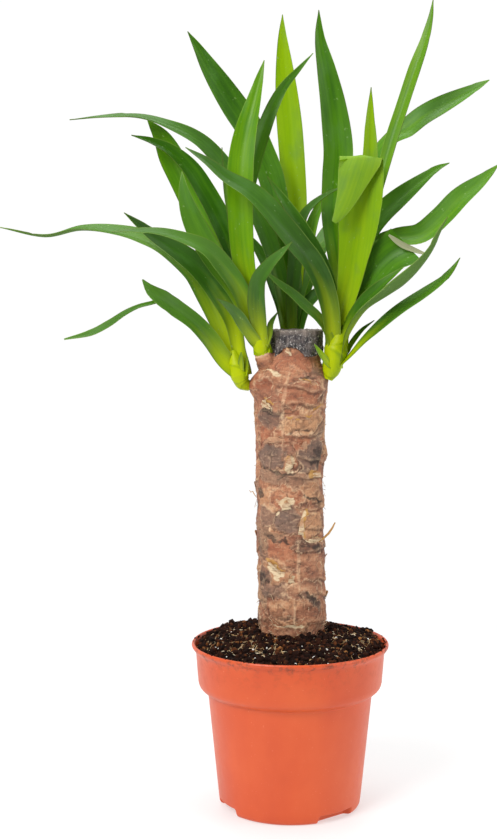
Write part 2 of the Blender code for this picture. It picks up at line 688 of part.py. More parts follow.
                widths=(5, 6, 8.5, 12.5, 17.5, 22.5, 25, 25.5, 25.5, 25.5, 24.5, 19.5, 12.5, 7, 3),
                folded=True,
            ),
            # Tall leaf behind it
            leaf(
                ((28.5, -4, 288), (31, 0, 306), (31, 2, 324), (28.6, 4, 342.1), (26.5, 5, 362),
                 (27.1, 6, 384.1), (28.5, 6, 402.1), (26, 5, 426.9), (22, 4, 448), (18, 3, 466.7),
                 (16.2, 2, 483)),
                18, ((0.1, -1, 0), (0.2, -1, 0)), belly=0.6,
            ),
            # Narrow bright leaf
            leaf(
                ((28, -5, 287), (33.7, -6, 311), (39.6, -8, 340.6), (44.2, -10, 370), (46.9, -11, 396.4),
                 (47.8, -11, 416.8), (48.4, -11, 436)),
                8, ((0.2, -1, 0), (0.2, -1, 0)), belly=0.6,
            ),
            # Long thin leaf
            leaf(
                ((29, -6, 289), (36.4, -10, 318), (43.4, -13, 346.4), (48.6, -15, 367), (53.7, -15, 386),
                 (58.3, -14, 404.8), (64.3, -13, 423.5), (71.7, -12, 444.5), (78.3, -11, 462),
                 (82.8, -10, 476), (84.2, -10, 487)),
                8, ((-0.4, -0.8, 0.2), (-0.5, -0.7, 0.2)), belly=0.6,
            ),
            # Twisted leaf, highest on the right
            leaf(
                ((29, -2, 288), (33, 2, 314), (37, 6, 341), (42, 9, 365), (48.3, 11, 386),
                 (55.2, 12, 400.8), (62.6, 12, 408), (70.6, 12, 413.4), (80.3, 11, 421), (91.8, 10, 427.5),
                 (106.8, 8, 435), (121.6, 5, 442.6)),
                15,
                ((0, -1, 0.1), (-0.2, -0.9, 0.3), (-0.2, -0.6, 0.7), (-0.3, -0.2, 1), (-0.4, -0.8, 0.5),
                 (-0.4, -0.8, 0.4)),
                belly=0.82,
            ),
            # Broad leaf on the right
            leaf(
                ((29, -4, 289), (34.5, -4, 314), (40, -3, 334.8), (45.5, -2, 349), (53.4, -1, 360),
                 (62.6, 0, 368), (76, 2, 378.5), (88, 4, 387.5), (96, 5, 393)),
                15.5, ((-0.2, -0.9, 0.2), (-0.4, -0.8, 0.5), (-0.4, -0.8, 0.5)), belly=0.66,
            ),
            # Long leaf at the far right
            leaf(
                ((30, -6, 288), (35.3, -9, 311), (42.4, -11, 331), (51.9, -11, 343), (63.4, -10, 347),
                 (77.5, -8, 349.5), (90.3, -6, 360), (101.4, -4, 371.6), (114.4, -2, 382.4),
                 (124.4, 0, 392)),
                16, ((-0.2, -0.9, 0.3), (-0.4, -0.5, 0.8), (-0.4, -0.8, 0.5), (-0.5, -0.8, 0.4)),
                belly=0.76,
            ),
            # Broad leaf with a dry bent end
            leaf(
                ((30, -9, 289), (35, -13, 304.5), (42.4, -18, 319.3), (52.2, -22, 333.2), (60, -25, 340.5),
                 (63.5, -26.5, 342.5), (65.5, -28.5, 342), (66.5, -30, 338.5)),
                20,
                ((-0.3, -0.9, 0.1), (-0.3, -0.9, 0.2), (-0.4, -0.9, 0.2), (-0.4, -0.9, 0.3),
                 (-0.4, -0.9, 0.3), (-0.3, -0.8, 0.1), (-0.1, -0.5, -0.8), (0.4, 0.1, -0.9),
                 (0.6, 0.7, -0.3)),
                widths=(5, 6, 9, 13, 18, 20, 20, 19, 15), folded=True,
            ),
            # Narrow leaf in front of it
            leaf(
                ((31.5, -13, 292), (40.3, -21, 307.5), (52.2, -28, 319.8), (65, -33, 330.7)),
                8, ((-0.4, -0.8, 0.4), (-0.5, -0.7, 0.5)), belly=0.6,
            ),
            # Leaf that shows its grey-green underside
            leaf(
                ((31, -12, 284), (36, -18, 295), (43.5, -26, 306), (55.2, -34, 314.6), (66.8, -40, 324.8),
                 (74.7, -43, 333.4), (79.7, -44, 340.8), (83, -45, 348.7), (88, -45, 358.6)),
                12, ((-0.5, -0.4, 0.7), (-0.5, 0.5, 0.7), (-0.6, 0.6, 0.5)), belly=0.5,
            ),
            # Low slim leaf
            leaf(
                ((34, -12, 277.6), (44.3, -17, 289), (55.2, -21, 299.8), (65, -24, 307.6), (77, -27, 315.7),
                 (87.3, -29, 323.2), (93, -30, 329), (97.6, -30, 335.7)),
                9.5, ((-0.4, -0.5, 0.8), (-0.3, -0.7, 0.7)), belly=0.62,
            ),
            # Small low leaf
            leaf(
                ((33, -7, 279), (36.5, -9, 285.2), (42.4, -11, 293), (49.5, -12, 299)),
                4.5, ((-0.4, -0.6, 0.7), (-0.3, -0.6, 0.8)),
            ),
            # Long leaf across the front to the left
            leaf(
                ((25, -10, 285.3), (22.9, -17, 304), (18.4, -24, 319.2), (11.6, -31, 332), (3.2, -37, 342),
                 (-6.2, -41, 353.5), (-15.5, -43, 364.7), (-24.7, -43, 373), (-38, -42, 381),
                 (-49.6, -40, 390.4), (-61.8, -37, 398.5)),
                14, ((0, -0.9, 0.3), (-0.1, -0.8, 0.6), (-0.1, -0.8, 0.6)),
            ),
            # Leaf close behind it
            leaf(
                ((25.2, -8, 286.4), (24.3, -12, 306.3), (20.6, -16, 321), (15.6, -20, 333.3),
                 (9.5, -24, 344.8), (2.3, -27, 357), (-6, -29, 370), (-14.8, -30, 382.6)),
                11, ((0.2, -0.9, 0.2), (0.3, -0.9, 0.3)), belly=0.5,
            ),
            # Thin leaf curving over the wax
            leaf(
                ((24.4, -11, 281), (21.3, -13, 292), (15.8, -16, 300.4), (9.2, -19, 306.3),
                 (0.2, -22, 314.6), (-9.3, -24, 322), (-17, -25, 329)),
                6.5, ((0.2, -0.8, 0.5), (0, -0.8, 0.6)), belly=0.6,
            ),
            # Small bract
            leaf(
                ((23, -13, 272), (18.3, -16, 278), (13.4, -18, 285)),
                4, ((0.1, -0.8, 0.6), (0.1, -0.9, 0.4)),
            ),
            # Back leaf, rising
            leaf(
                ((36, 20, 300), (42, 45, 330), (44, 75, 350), (42, 100, 355)),
                14, ((-0.2, -0.6, 0.7), (0, -0.3, 1)),
            ),
            # Back leaf, arching away
            leaf(
                ((31, 22, 290), (35, 50, 318), (36, 85, 335), (36, 115, 330)),
                13, ((0, -0.6, 0.7), (0, -0.1, 1)),
            ),
        ),
        "colour": (0.11, 0.3, 0.02),
    },
}


def main():
    for thing in list(bpy.data.objects):
        bpy.data.objects.remove(thing)
    make_pot()
    make_soil()
    make_cane()
    make_wax_seal()
    for name, shoot in SHOOTS.items():
        make_shoot(name, **shoot)


main()
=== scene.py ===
"""The looks of the potted yucca: a cut cane with four leafy shoots, in soil, in a moulded nursery pot.

Sizes are in millimetres, in the part's own frame: +Z up, the front of the plant towards -Y. MM turns them
into metres where a mesh is made. Angles are in degrees, from +X towards +Y, so the front is at 270.
"""

import math
import random

import bpy
import numpy as np
from mathutils import Euler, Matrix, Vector, noise


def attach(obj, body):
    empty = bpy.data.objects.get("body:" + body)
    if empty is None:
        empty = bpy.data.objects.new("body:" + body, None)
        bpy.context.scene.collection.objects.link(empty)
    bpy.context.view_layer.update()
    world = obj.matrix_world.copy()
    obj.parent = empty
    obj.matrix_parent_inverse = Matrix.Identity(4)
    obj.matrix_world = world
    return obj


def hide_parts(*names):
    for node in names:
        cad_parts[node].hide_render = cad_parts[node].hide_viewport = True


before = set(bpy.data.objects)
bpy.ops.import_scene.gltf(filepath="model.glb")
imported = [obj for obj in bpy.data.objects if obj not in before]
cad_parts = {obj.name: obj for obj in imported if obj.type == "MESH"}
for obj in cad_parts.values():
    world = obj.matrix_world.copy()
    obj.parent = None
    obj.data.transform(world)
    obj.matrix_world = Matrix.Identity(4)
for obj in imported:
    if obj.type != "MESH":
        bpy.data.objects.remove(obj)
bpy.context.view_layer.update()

MM = 0.001
BODY = "root"

# The turn from one leaf, or leaf scar, to the next one up a stem
GOLDEN_ANGLE = 137.5

# Pot: wall, and outer profile as (radius, height) up to the rolled rim
WALL = 1.2
POT_SIDE = (
    (43.95, 5.9), (50.5, 70.4), (50.8, 71.3), (53.7, 72.8), (55.7, 74.9), (56.5, 77.6), (57.8, 95.0),
    (58.3, 97.2), (59.8, 98.6), (60.5, 99.8), (60.4, 100.9), (59.8, 101.5), (58.9, 101.45), (57.4, 98.4),
)
POT_FOOT = ((37.5, 0.0), (40.0, 0.0), (41.4, 0.15), (42.6, 0.75), (43.4, 2.2), (43.7, 4.2), (43.85, 5.1))
LINING_TOP, LINING_FOOT, FLOOR_RADIUS = (57.3, 97.6), (42.9, 8.0), 30.0
SOFT_CORNER = 0.9
COLUMN_STEP, COLUMN_GAP = 2.5, 0.15
# How far from round the pot is at 100 mm up, as a share, and where round it that wave starts
POT_OVAL, POT_OVAL_TURN = 0.0016, 40
# Dust gathers round this height under the rim
DUST_HEIGHT, DUST_REACH, DUST_RADIUS = 99.5, 7, 56
# Drain recesses: the angles of their middles, their reach, roof and rounding, their half angles, and the
# hole through each roof
RECESS_CENTRES = (34.0, 118.0, 202.5, 309.5)
RECESS_REACH, RECESS_ROOF, RECESS_ROUND = 37.0, 5.0, 0.6
RECESS_FULL, RECESS_GONE = 15.8, 18.6
DRAIN_RADIUS, DRAIN_REACH, DRAIN_SPAN, DRAIN_SIDES = 2.2, 40.2, (4.0, 7.4), 24

# Soil, mounded from the rim up to the cane: its sides as (radius, height), and its lumps, large to small
SOIL_EDGE, SOIL_EDGE_HEIGHT, SOIL_MOUND_HEIGHT = 56.4, 97.5, 109.0
SOIL_SIDE = ((FLOOR_RADIUS, 7.4), (42.4, 7.4), (49.2, 71.0), (54.6, 79.0), (56.0, 94.5))
SOIL_LUMP, SOIL_LUMP_SIZE = 1.6, 13.0
SOIL_CLOD, SOIL_CLOD_SIZE = 0.9, 3.6
SOIL_GRIT, SOIL_GRIT_SIZE = 0.6, 1.7
SOIL_SLOPE_POWER = 0.8
SOIL_HOLE = 20.3
SOIL_SIDES, SOIL_RINGS = 200, 46
CLEAR = 0.3
CRUMB_SIZES = (0.5, 0.65, 0.8, 1.0, 1.3, 1.8)
CRUMBS, RIM_CRUMBS, SMALL_PERLITE = 5200, 70, 34
RIM_INNER, RIM_OUTER, RIM_TOP = 57.6, 59.6, 101.3
# Fibres: angle, spread and count of each mat, where a spread of 180 is all round
FIBRE_MATS = ((200, 24, 130), (338, 20, 110), (270, 180, 150))

# Cane: its lean is (height, x of the axis) and its radius (height, radius). Its seats are swellings under
# the shoots: angle, height, how far it stands out, half angle, half height
CANE_FOOT, SOIL_LINE, CANE_TOP = 30.0, 113.0, 291.5
CANE_LEAN = (
    (CANE_FOOT, 1.5), (SOIL_LINE, 1.5), (150, 0.5), (200, -0.4), (250, 0.0), (268, 2.9), (CANE_TOP, 2.9),
)
CANE_RADIUS = (
    (CANE_FOOT, 20.0), (SOIL_LINE, 20.0), (116, 20.5), (200, 20.4), (240, 21.0), (256, 21.0), (263, 19.4),
    (269, 17.2), (274, 15.7), (CANE_TOP, 15.3),
)
SEATS = (
    (186, 259.0, 6.5, 24, 5.5), (214, 265.0, 2.5, 22, 5.0), (344, 264.0, 3.5, 24, 7.0),
    (88, 264.0, 3.0, 26, 7.0),
)
SCAR_SPACING, SCAR_TILT = 14.5, 2.6
SCARS_START, SCARS_END = SOIL_LINE + 3.0, 266.0
CANE_SIDES, CANE_RISE, BARK_UNDER_SOIL = 288, 0.72, 12
# Rumples of the bark, large to small: size and seed. The wrinkles that cross it: size, half width, seed
BARK_RUMPLES = ((9.0, 0.0), (3.4, 5.0), (1.5, 9.0))
WRINKLE_SIZE, WRINKLE_WIDTH, WRINKLE_SEED = 8.0, 0.045, 21.0
LOOSE_FLAKES, LOOSE_FIBRES = 16, 260
FLAKE_ROWS, FLAKE_COLUMNS, FLAKE_THICK = 5, 7, 0.35
COLLAR_SIDES, COLLAR_ROWS = 44, 22

# Wax cap: a lobe of its edge is (angle, lowest height, half angle). Its folds lie round one angle, closely
# enough for WAX_FOLDS of them in a whole turn, and WAX_ROOF holds the radii of its top's rings
WAX_INNER, WAX_OUTER = 15.8, 17.0
WAX_TOP, WAX_EDGE = 293.2, 282.5
WAX_LOBES = ((209, 276.4, 27), (304, 277.4, 27), (20, 276.4, 24), (90, 279.0, 25), (160, 277.5, 22))
WAX_FOLDS_AT, WAX_FOLDS_HALF, WAX_FOLDS = 222, 20, 26
WAX_SIDES, WAX_ROWS = 220, 26
WAX_ROOF = (16.0, 15.4, 14.6, 13.4, 11.8, 9.8, 7.4, 4.6, 1.0)

# Leaves: spacing of sections, spaces across a blade, thickness, neck and channel
LEAF_STEP, LEAF_ACROSS = 2.6, 10
LEAF_THICK, LEAF_THICK_ROOT, LEAF_EDGE_THICK = 0.62, 1.0, 0.22
LEAF_TIP = 0.5
NECK = 0.56
CHANNEL, CHANNEL_ROOT = 0.16, 0.3
LEAF_ROOT_SHARE = 0.4
ROOT_OFFSET = 0.9
CLASP_LENGTH, CLASP_WIDTH, CLASP_BEND = 15.0, 1.2, 0.3
CURVE_FINENESS = 40
TANGENT_REACH = 0.25
STEM_SIDES, STEM_STEPS = 48, 20

# Stage and camera: the board lies just under the pot's base
BOARD_HALF, BOARD_CELLS, BOARD_DROP = 450.0, 12, 0.05
PHOTO_TALL = 840
FOCAL_PIXELS = 1486.0
SENSOR = 36.0
CAMERA_PLACE, CAMERA_DOWN = (-25.6, -900.0, 317.0), 5.0

# Room: its shade from straight down (0) to straight up (1), white where the walls stand
ROOM_SHADES = ((0.2, "#5A5A5A"), (0.29, "#FFFFFF"), (0.72, "#FFFFFF"), (0.85, "#8C8C8C"))
ROOM_LIGHT, FRONT_SHARE = 1.02, 0.35
PLANT_MIDDLE = (0, 0, 230)
# Soft lamps: place, size and power
SOFTBOXES = (
    ("front_left_box", (-700, -900, 1000), (600, 700), 17.0),
    ("right_box", (1000, -400, 500), (600, 900), 5.0),
    ("top_box", (0, 100, 1300), (800, 800), 10.0),
)


# Plain helpers


def srgb(hex_colour):
    """The linear colour of a hex value as seen on a screen."""
    channels = [int(hex_colour[i:i + 2], 16) / 255 for i in (1, 3, 5)]
    return tuple(c / 12.92 if c <= 0.04045 else ((c + 0.055) / 1.055) ** 2.4 for c in channels) + (1.0,)


def add(material, kind, inputs=(), out=0, stops=None, **settings):
    """Adds a node with its settings, its ramp's stops and its inputs, and gives back one of its outputs.

    Inputs go by position or by name, each a number, a hex colour or another node's output."""
    made = material.node_tree.nodes.new("ShaderNode" + kind)
    for name, value in settings.items():
        setattr(made, name, value)
    if stops:
        ramp = made.color_ramp
        while len(ramp.elements) < len(stops):
            ramp.elements.new(1.0)
        for element, (place, colour) in zip(ramp.elements, stops):
            element.position = place
            element.color = srgb(colour)
    for name, value in inputs.items() if isinstance(inputs, dict) else enumerate(inputs):
        socket = made.inputs[name]
        if isinstance(value, bpy.types.NodeSocket):
            material.node_tree.links.new(value, socket)
        else:
            socket.default_value = srgb(value) if isinstance(value, str) else value
    return made.outputs[out] if made.outputs else None


def layered(material, base, *coats):
    """A base colour with coats over it, each a share and a colour."""
    for share, colour in coats:
        base = add(material, "Mix", {0: share, 6: base, 7: colour}, out=2, data_type="RGBA")
    return base


def grain(material, size_mm, stretch=(1, 1, 1), place=None, detail=3.0, rough=0.55):
    """A noise whose grains are about size_mm across and are stretched by a factor along each axis."""
    if place is None:
        place = add(material, "TexCoord", out="Object")
        size_mm = size_mm * MM
    scale = tuple(1 / (size_mm * s) for s in stretch)
    moved = add(material, "Mapping", {"Vector": place, "Scale": scale})
    return add(material, "TexNoise", {"Vector": moved, "Scale": 1.0, "Detail": detail, "Roughness": rough})


def new_finish(name):
    """An empty material."""
    made = bpy.data.materials.new(name)
    made.use_nodes = True
    made.node_tree.nodes.clear()
    return made


# Finishes: scales in millimetres, colours as sRGB hex

LEAF_GREENS = ((0.0, "#1A3C02"), (0.28, "#336605"), (0.5, "#528A08"), (0.75, "#78A804"), (1.0, "#9ABF02"))
# Painted sheen: the grey coat stands for the bright room reflected off the glossy blade
PAINTED_SHEEN_GREY, LEAF_UNDERSIDE, LEAF_LIME = "#5E8142", "#74923F", "#C2D205"
# Painted sheen and painted highlights: the patch colour stands for sheen in patches, the fleck colour for
# small glints of light off the blade
PAINTED_SHEEN_PATCH, LEAF_MARGIN, PAINTED_GLINT, LEAF_GLOW = "#5B8A45", "#A5BF55", "#A9C67E", "#A5D400"
LEAF_THROUGH = 0.24
LEAF_MARGIN_WIDTH = 0.3
LEAF_RIM = "#3E4412"
DRY_LEAF_DARK, DRY_LEAF_PALE = "#84865C", "#B9BC98"
# Veins are about 0.5 mm apart on the real leaf, and drawn at 1.1 mm, or they wouldn't show
VEIN_SPACING = 1.1

BARK_TONES = ((0.24, "#4A3026"), (0.39, "#7D4F39"), (0.5, "#A66E50"), (0.62, "#C28B66"), (0.78, "#E6C29C"))
# Partly painted light: the ridges' colour is partly painted highlight on lifted edges, the creases' colour
# partly painted shadow under them
BARK_DEEP, BARK_PALE, BARK_RIDGE_HIGHLIGHT, BARK_CREASE_SHADOW = "#4A3228", "#DDB892", "#E6C39C", "#2A1811"
BARK_STAIN, BARK_RUST, BARK_GOLD, BARK_CREAM = "#33261F", "#A4583A", "#BE8E46", "#E2CCA6"
BARK_GREY, BARK_TAN = "#75655A", "#CFA273"
# Fibres of the bark are about 0.3 mm, and drawn at 0.9 mm, or they wouldn't show
BARK_FIBRE = 0.9

WAX_TONES = ((0.35, "#1B1919"), (0.5, "#353032"), (0.65, "#5E5450"))
WAX_BLOOM, WAX_SPECK, WAX_CRUMB = "#9C8F88", "#DAD3CC", "#A8978A"

SOIL_TONES = ((0.0, "#080201"), (0.35, "#180A05"), (0.6, "#371A0D"), (0.85, "#66391B"), (1.0, "#9A683A"))
SOIL_WARM = "#2C1208"
ROOT_TONES = ((0.0, "#5C4026"), (0.4, "#8B6A42"), (0.7, "#B99A6C"), (1.0, "#E3D5B6"))
PERLITE_WHITE, PERLITE_DUSTY = "#F1EEE6", "#B9AE9E"

POT_TONES = ((0.3, "#C94B1D"), (0.5, "#CF5121"), (0.7, "#D45827"))
POT_GRIT, POT_DUST = "#EE9A74", "#74341C"

BOARD_WHITE, BOARD_LIT = "#B8B8B8", "#FFFFFF"
BOARD_GLOW = 0.5


def living_leaf():
    """Waxy living leaf: a soft gloss over deep green with a painted grey sheen, painted sheen patches and
    small painted highlights on it, lime at the clasping base, a thin pale margin, fine lengthwise veins,
    and light that comes through where the blade is lit from behind."""
    leaf_skin = new_finish("living_leaf")
    blade = add(leaf_skin, "Attribute", out="Vector", attribute_name="blade")
    tone, painted_sheen, lime, upper, margin, dry = (
        add(leaf_skin, "Attribute", out="Fac", attribute_name=name)
        for name in ("tone", "painted_sheen", "lime", "upper", "margin", "dry")
    )
    clouds = grain(leaf_skin, 16, (1, 4, 1), blade)
    veins = grain(leaf_skin, VEIN_SPACING, (1, 90, 1), blade, detail=2.0)
    bands = grain(leaf_skin, 3.4, (1, 34, 1), blade, detail=2.0)
    for pattern, amount in ((clouds, 0.24), (veins, 0.12), (bands, 0.1)):
        swing = add(leaf_skin, "MapRange", (pattern, 0.3, 0.7, -amount, amount))
        tone = add(leaf_skin, "Math", (tone, swing), operation="ADD")
    green = add(leaf_skin, "ValToRGB", (add(leaf_skin, "MapRange", (tone, -1.0, 1.0)),), stops=LEAF_GREENS)
    # Painted highlights: small pale spots for glints of light off the glossy blade
    glints = grain(leaf_skin, 1.6, (1, 1.6, 1), blade, detail=1.0)
    edge = LEAF_MARGIN_WIDTH
    # Painted sheen: grey-green patches where the glossy blade reflects the room
    sheen_patches = grain(leaf_skin, 10, (1, 2.2, 1), blade, detail=4.0)
    streaky = add(leaf_skin, "MapRange", (bands, 0.3, 0.7, -0.09, 0.09))
    limed = add(leaf_skin, "Math", (lime, streaky), operation="ADD")
    rim_place = add(leaf_skin, "MapRange", (margin, edge * 0.4, edge * 1.4, 0.75, 0.0))
    rimmed = add(leaf_skin, "MapRange", (grain(leaf_skin, 14, (1, 5, 1), blade, detail=1.0), 0.42, 0.55))
    colour = layered(
        leaf_skin, green,
        (painted_sheen, PAINTED_SHEEN_GREY),
        (add(leaf_skin, "MapRange", (sheen_patches, 0.52, 0.7, 0.0, 0.35)), PAINTED_SHEEN_PATCH),
        (add(leaf_skin, "MapRange", (upper, 0.4, 0.6, 0.28, 0.0)), LEAF_UNDERSIDE),
        (add(leaf_skin, "MapRange", (limed, 0.12, 0.85)), LEAF_LIME),
        (add(leaf_skin, "MapRange", (margin, edge * 0.5, edge * 1.3, 0.42, 0.0)), LEAF_MARGIN),
        (add(leaf_skin, "Math", (rimmed, rim_place), operation="MULTIPLY"), LEAF_RIM),
        (add(leaf_skin, "MapRange", (glints, 0.72, 0.78, 0.0, 0.4)), PAINTED_GLINT),
    )
    papery = layered(leaf_skin, DRY_LEAF_DARK, (veins, DRY_LEAF_PALE))
    colour = layered(leaf_skin, colour, (dry, papery))
    normal = add(leaf_skin, "Bump", {"Strength": 0.35, "Distance": 0.12 * MM, "Height": veins})
    normal = add(leaf_skin, "Bump", {
        "Strength": 0.3, "Distance": 0.8 * MM, "Height": clouds, "Normal": normal,
    })
    gloss = add(leaf_skin, "MapRange", (grain(leaf_skin, 7, (1, 2.5, 1), blade), 0.3, 0.7, 0.33, 0.46))
    matt = add(leaf_skin, "MapRange", (upper, 0.4, 0.6, 0.16, 0.0))
    skin = add(leaf_skin, "BsdfPrincipled", {
        "Base Color": colour, "Roughness": add(leaf_skin, "Math", (gloss, matt), operation="ADD"),
        "IOR": 1.4, "Specular IOR Level": 0.3, "Normal": normal,
    })
    glow = layered(leaf_skin, colour, (0.55, LEAF_GLOW))
    through = add(leaf_skin, "BsdfTranslucent", {"Color": glow, "Normal": normal})
    add(leaf_skin, "OutputMaterial", (add(leaf_skin, "MixShader", (LEAF_THROUGH, skin, through)),))
    return leaf_skin


def yucca_bark():
    """Dry papery bark: pinkish brown and matt, with pale lifted scar ridges and plate rims, partly painted
    highlight, dark creases, partly painted shadow under those ridges and rims, stains and torn spots that
    show the cream fibre below."""
    bark = new_finish("yucca_bark")
    ridge, crease, stain, light, grey, warm, gold, cream = (
        add(bark, "Attribute", out="Fac", attribute_name=name)
        for name in ("ridge", "crease", "stain", "light", "grey", "warm", "gold", "cream")
    )
    broad = grain(bark, 9, (1.4, 1.4, 0.8), detail=6.0, rough=0.68)
    fibre = grain(bark, BARK_FIBRE, (4.5, 4.5, 1), detail=3.0, rough=0.65)
    strands = grain(bark, BARK_FIBRE, (1, 1, 7), detail=3.0, rough=0.65)
    mottle = grain(bark, 3.0, (1.3, 1.3, 1), detail=6.0, rough=0.75)
    ragged = add(bark, "MapRange", (mottle, 0.36, 0.6, 0.1, 1.0))
    stained = add(bark, "Math", (stain, ragged), operation="MULTIPLY")
    lifted = add(bark, "Math", (ridge, ragged), operation="MULTIPLY")
    torn = add(bark, "MapRange", (fibre, 0.35, 0.6, 0.5, 1.0))
    torn = add(bark, "Math", (cream, torn), operation="MULTIPLY")
    swing = add(bark, "MapRange", (light, -1.0, 1.0, -0.13, 0.13))
    tone = add(bark, "Math", (broad, swing), operation="ADD")
    colour = layered(
        bark, add(bark, "ValToRGB", (tone,), stops=BARK_TONES),
        (add(bark, "MapRange", (warm, 0.0, -1.0, 0.0, 0.5)), BARK_RUST),
        (add(bark, "MapRange", (warm, 0.0, 1.0, 0.0, 0.45)), BARK_TAN),
        (add(bark, "MapRange", (grey, 0.0, 1.0, 0.0, 0.75)), BARK_GREY),
        (add(bark, "MapRange", (mottle, 0.36, 0.5, 0.5, 0.0)), BARK_DEEP),
        (add(bark, "MapRange", (strands, 0.36, 0.48, 0.3, 0.0)), BARK_DEEP),
        (add(bark, "MapRange", (fibre, 0.56, 0.7, 0.0, 0.35)), BARK_PALE),
        (add(bark, "MapRange", (stained, 0.08, 0.5, 0.0, 0.85)), BARK_STAIN),
        # Pale ridges and dark creases: partly painted highlight and painted shadow
        (lifted, BARK_RIDGE_HIGHLIGHT),
        (crease, BARK_CREASE_SHADOW),
        (add(bark, "MapRange", (gold, 0.35, 0.7, 0.0, 0.75)), BARK_GOLD),
        (add(bark, "MapRange", (torn, 0.35, 0.7, 0.0, 0.9)), BARK_CREAM),
    )
    normal = add(bark, "Bump", {"Strength": 0.7, "Distance": 0.5 * MM, "Height": mottle})
    normal = add(bark, "Bump", {"Strength": 0.6, "Distance": 0.2 * MM, "Height": fibre, "Normal": normal})
    shader = add(bark, "BsdfPrincipled", {
        "Base Color": colour, "Roughness": add(bark, "MapRange", (mottle, 0.2, 0.8, 0.6, 0.85)),
        "IOR": 1.45, "Normal": normal,
    })
    add(bark, "OutputMaterial", (shader,))
    return bark


def sealing_wax():
    """Old charcoal grafting wax: brittle and matt, with runs down its side and pale grey specks."""
    wax = new_finish("sealing_wax")
    runs = grain(wax, 1.6, (1, 1, 5))
    clouds = grain(wax, 5.0, detail=4.0)
    specks = grain(wax, 1.3, (1, 1, 1.3), detail=4.0, rough=0.85)
    crumble = add(wax, "Attribute", out="Fac", attribute_name="crumble")
    patchy = add(wax, "MapRange", (clouds, 0.3, 0.7, 0.35, 0.85))
    colour = layered(
        wax, add(wax, "ValToRGB", (clouds,), stops=WAX_TONES),
        (add(wax, "MapRange", (runs, 0.52, 0.72, 0.0, 0.5)), WAX_BLOOM),
        (add(wax, "MapRange", (specks, 0.54, 0.66, 0.0, 0.85)), WAX_SPECK),
        (add(wax, "Math", (crumble, patchy), operation="MULTIPLY"), WAX_CRUMB),
    )
    normal = add(wax, "Bump", {"Strength": 1.0, "Distance": 0.5 * MM, "Height": specks})
    normal = add(wax, "Bump", {"Strength": 0.7, "Distance": 0.6 * MM, "Height": runs, "Normal": normal})
    shader = add(wax, "BsdfPrincipled", {
        "Base Color": colour, "Roughness": add(wax, "MapRange", (clouds, 0.3, 0.7, 0.42, 0.68)),
        "IOR": 1.45, "Normal": normal,
    })
    add(wax, "OutputMaterial", (shader,))
    return wax


def potting_soil():
    """Damp peat: near-black crumbs with browner ones among them, matt all over."""
    peat = new_finish("potting_soil")
    crumbs = grain(peat, 1.8, detail=4.0, rough=0.7)
    clods = grain(peat, 9.0, detail=2.0)
    tone = add(peat, "Attribute", out="Fac", attribute_name="tone")
    swing = add(peat, "MapRange", (crumbs, 0.3, 0.7, -0.22, 0.22))
    shade = add(peat, "Math", (tone, swing), operation="ADD")
    colour = layered(
        peat, add(peat, "ValToRGB", (shade,), stops=SOIL_TONES),
        (add(peat, "MapRange", (clods, 0.35, 0.65, 0.0, 0.35)), SOIL_WARM),
    )
    normal = add(peat, "Bump", {"Strength": 1.0, "Distance": 0.5 * MM, "Height": crumbs})
    shader = add(peat, "BsdfPrincipled", {
        "Base Color": colour, "Roughness": 0.9, "IOR": 1.4, "Specular IOR Level": 0.2, "Normal": normal,
    })
    add(peat, "OutputMaterial", (shader,))
    return peat


def dry_root():
    """Dry root hairs and coir: pale tan to brown threads, matt."""
    root = new_finish("dry_root")
    tone = add(root, "Attribute", out="Fac", attribute_name="tone")
    swing = add(root, "MapRange", (grain(root, 4.0, detail=2.0), 0.3, 0.7, -0.15, 0.15))
    shade = add(root, "Math", (tone, swing), operation="ADD")
    colour = add(root, "ValToRGB", (shade,), stops=ROOT_TONES)
    shader = add(root, "BsdfPrincipled", {"Base Color": colour, "Roughness": 0.7, "IOR": 1.45})
    add(root, "OutputMaterial", (shader,))
    return root


def perlite():
    """Expanded volcanic glass: soft white, pitted grains that catch the light."""
    grains = new_finish("perlite")
    pits = grain(grains, 0.6, rough=0.7)
    dusty = add(grains, "MapRange", (pits, 0.3, 0.55, 0.6, 0.0))
    colour = layered(grains, PERLITE_WHITE, (dusty, PERLITE_DUSTY))
    normal = add(grains, "Bump", {"Strength": 0.8, "Distance": 0.15 * MM, "Height": pits})
    shader = add(grains, "BsdfPrincipled", {
        "Base Color": colour, "Roughness": 0.75, "IOR": 1.5, "Normal": normal,
    })
    add(grains, "OutputMaterial", (shader,))
    return grains


def moulded_polypropylene():
    """Injection-moulded polypropylene in terracotta orange: satin and faintly uneven, with pale grit in the
    colour and a little soil dust under the rim."""
    plastic = new_finish("moulded_polypropylene")
    flow = grain(plastic, 30, (1, 1, 1.6))
    grit = grain(plastic, 1.1, detail=1.0)
    dust = grain(plastic, 4.5, detail=5.0, rough=0.7)
    dusted = add(plastic, "Attribute", out="Fac", attribute_name="dust")
    patchy = add(plastic, "MapRange", (dust, 0.5, 0.68))
    dusted = add(plastic, "Math", (dusted, patchy), operation="MULTIPLY")
    colour = layered(
        plastic, add(plastic, "ValToRGB", (flow,), stops=POT_TONES),
        (add(plastic, "MapRange", (grit, 0.73, 0.8, 0.0, 0.35)), POT_GRIT),
        (dusted, POT_DUST),
    )
    skin = grain(plastic, 1.6, detail=2.0)
    normal = add(plastic, "Bump", {"Strength": 0.12, "Distance": 0.1 * MM, "Height": skin})
    shader = add(plastic, "BsdfPrincipled", {
        "Base Color": colour, "Roughness": add(plastic, "MapRange", (dust, 0.3, 0.7, 0.36, 0.46)),
        "IOR": 1.49, "Normal": normal,
    })
    add(plastic, "OutputMaterial", (shader,))
    return plastic


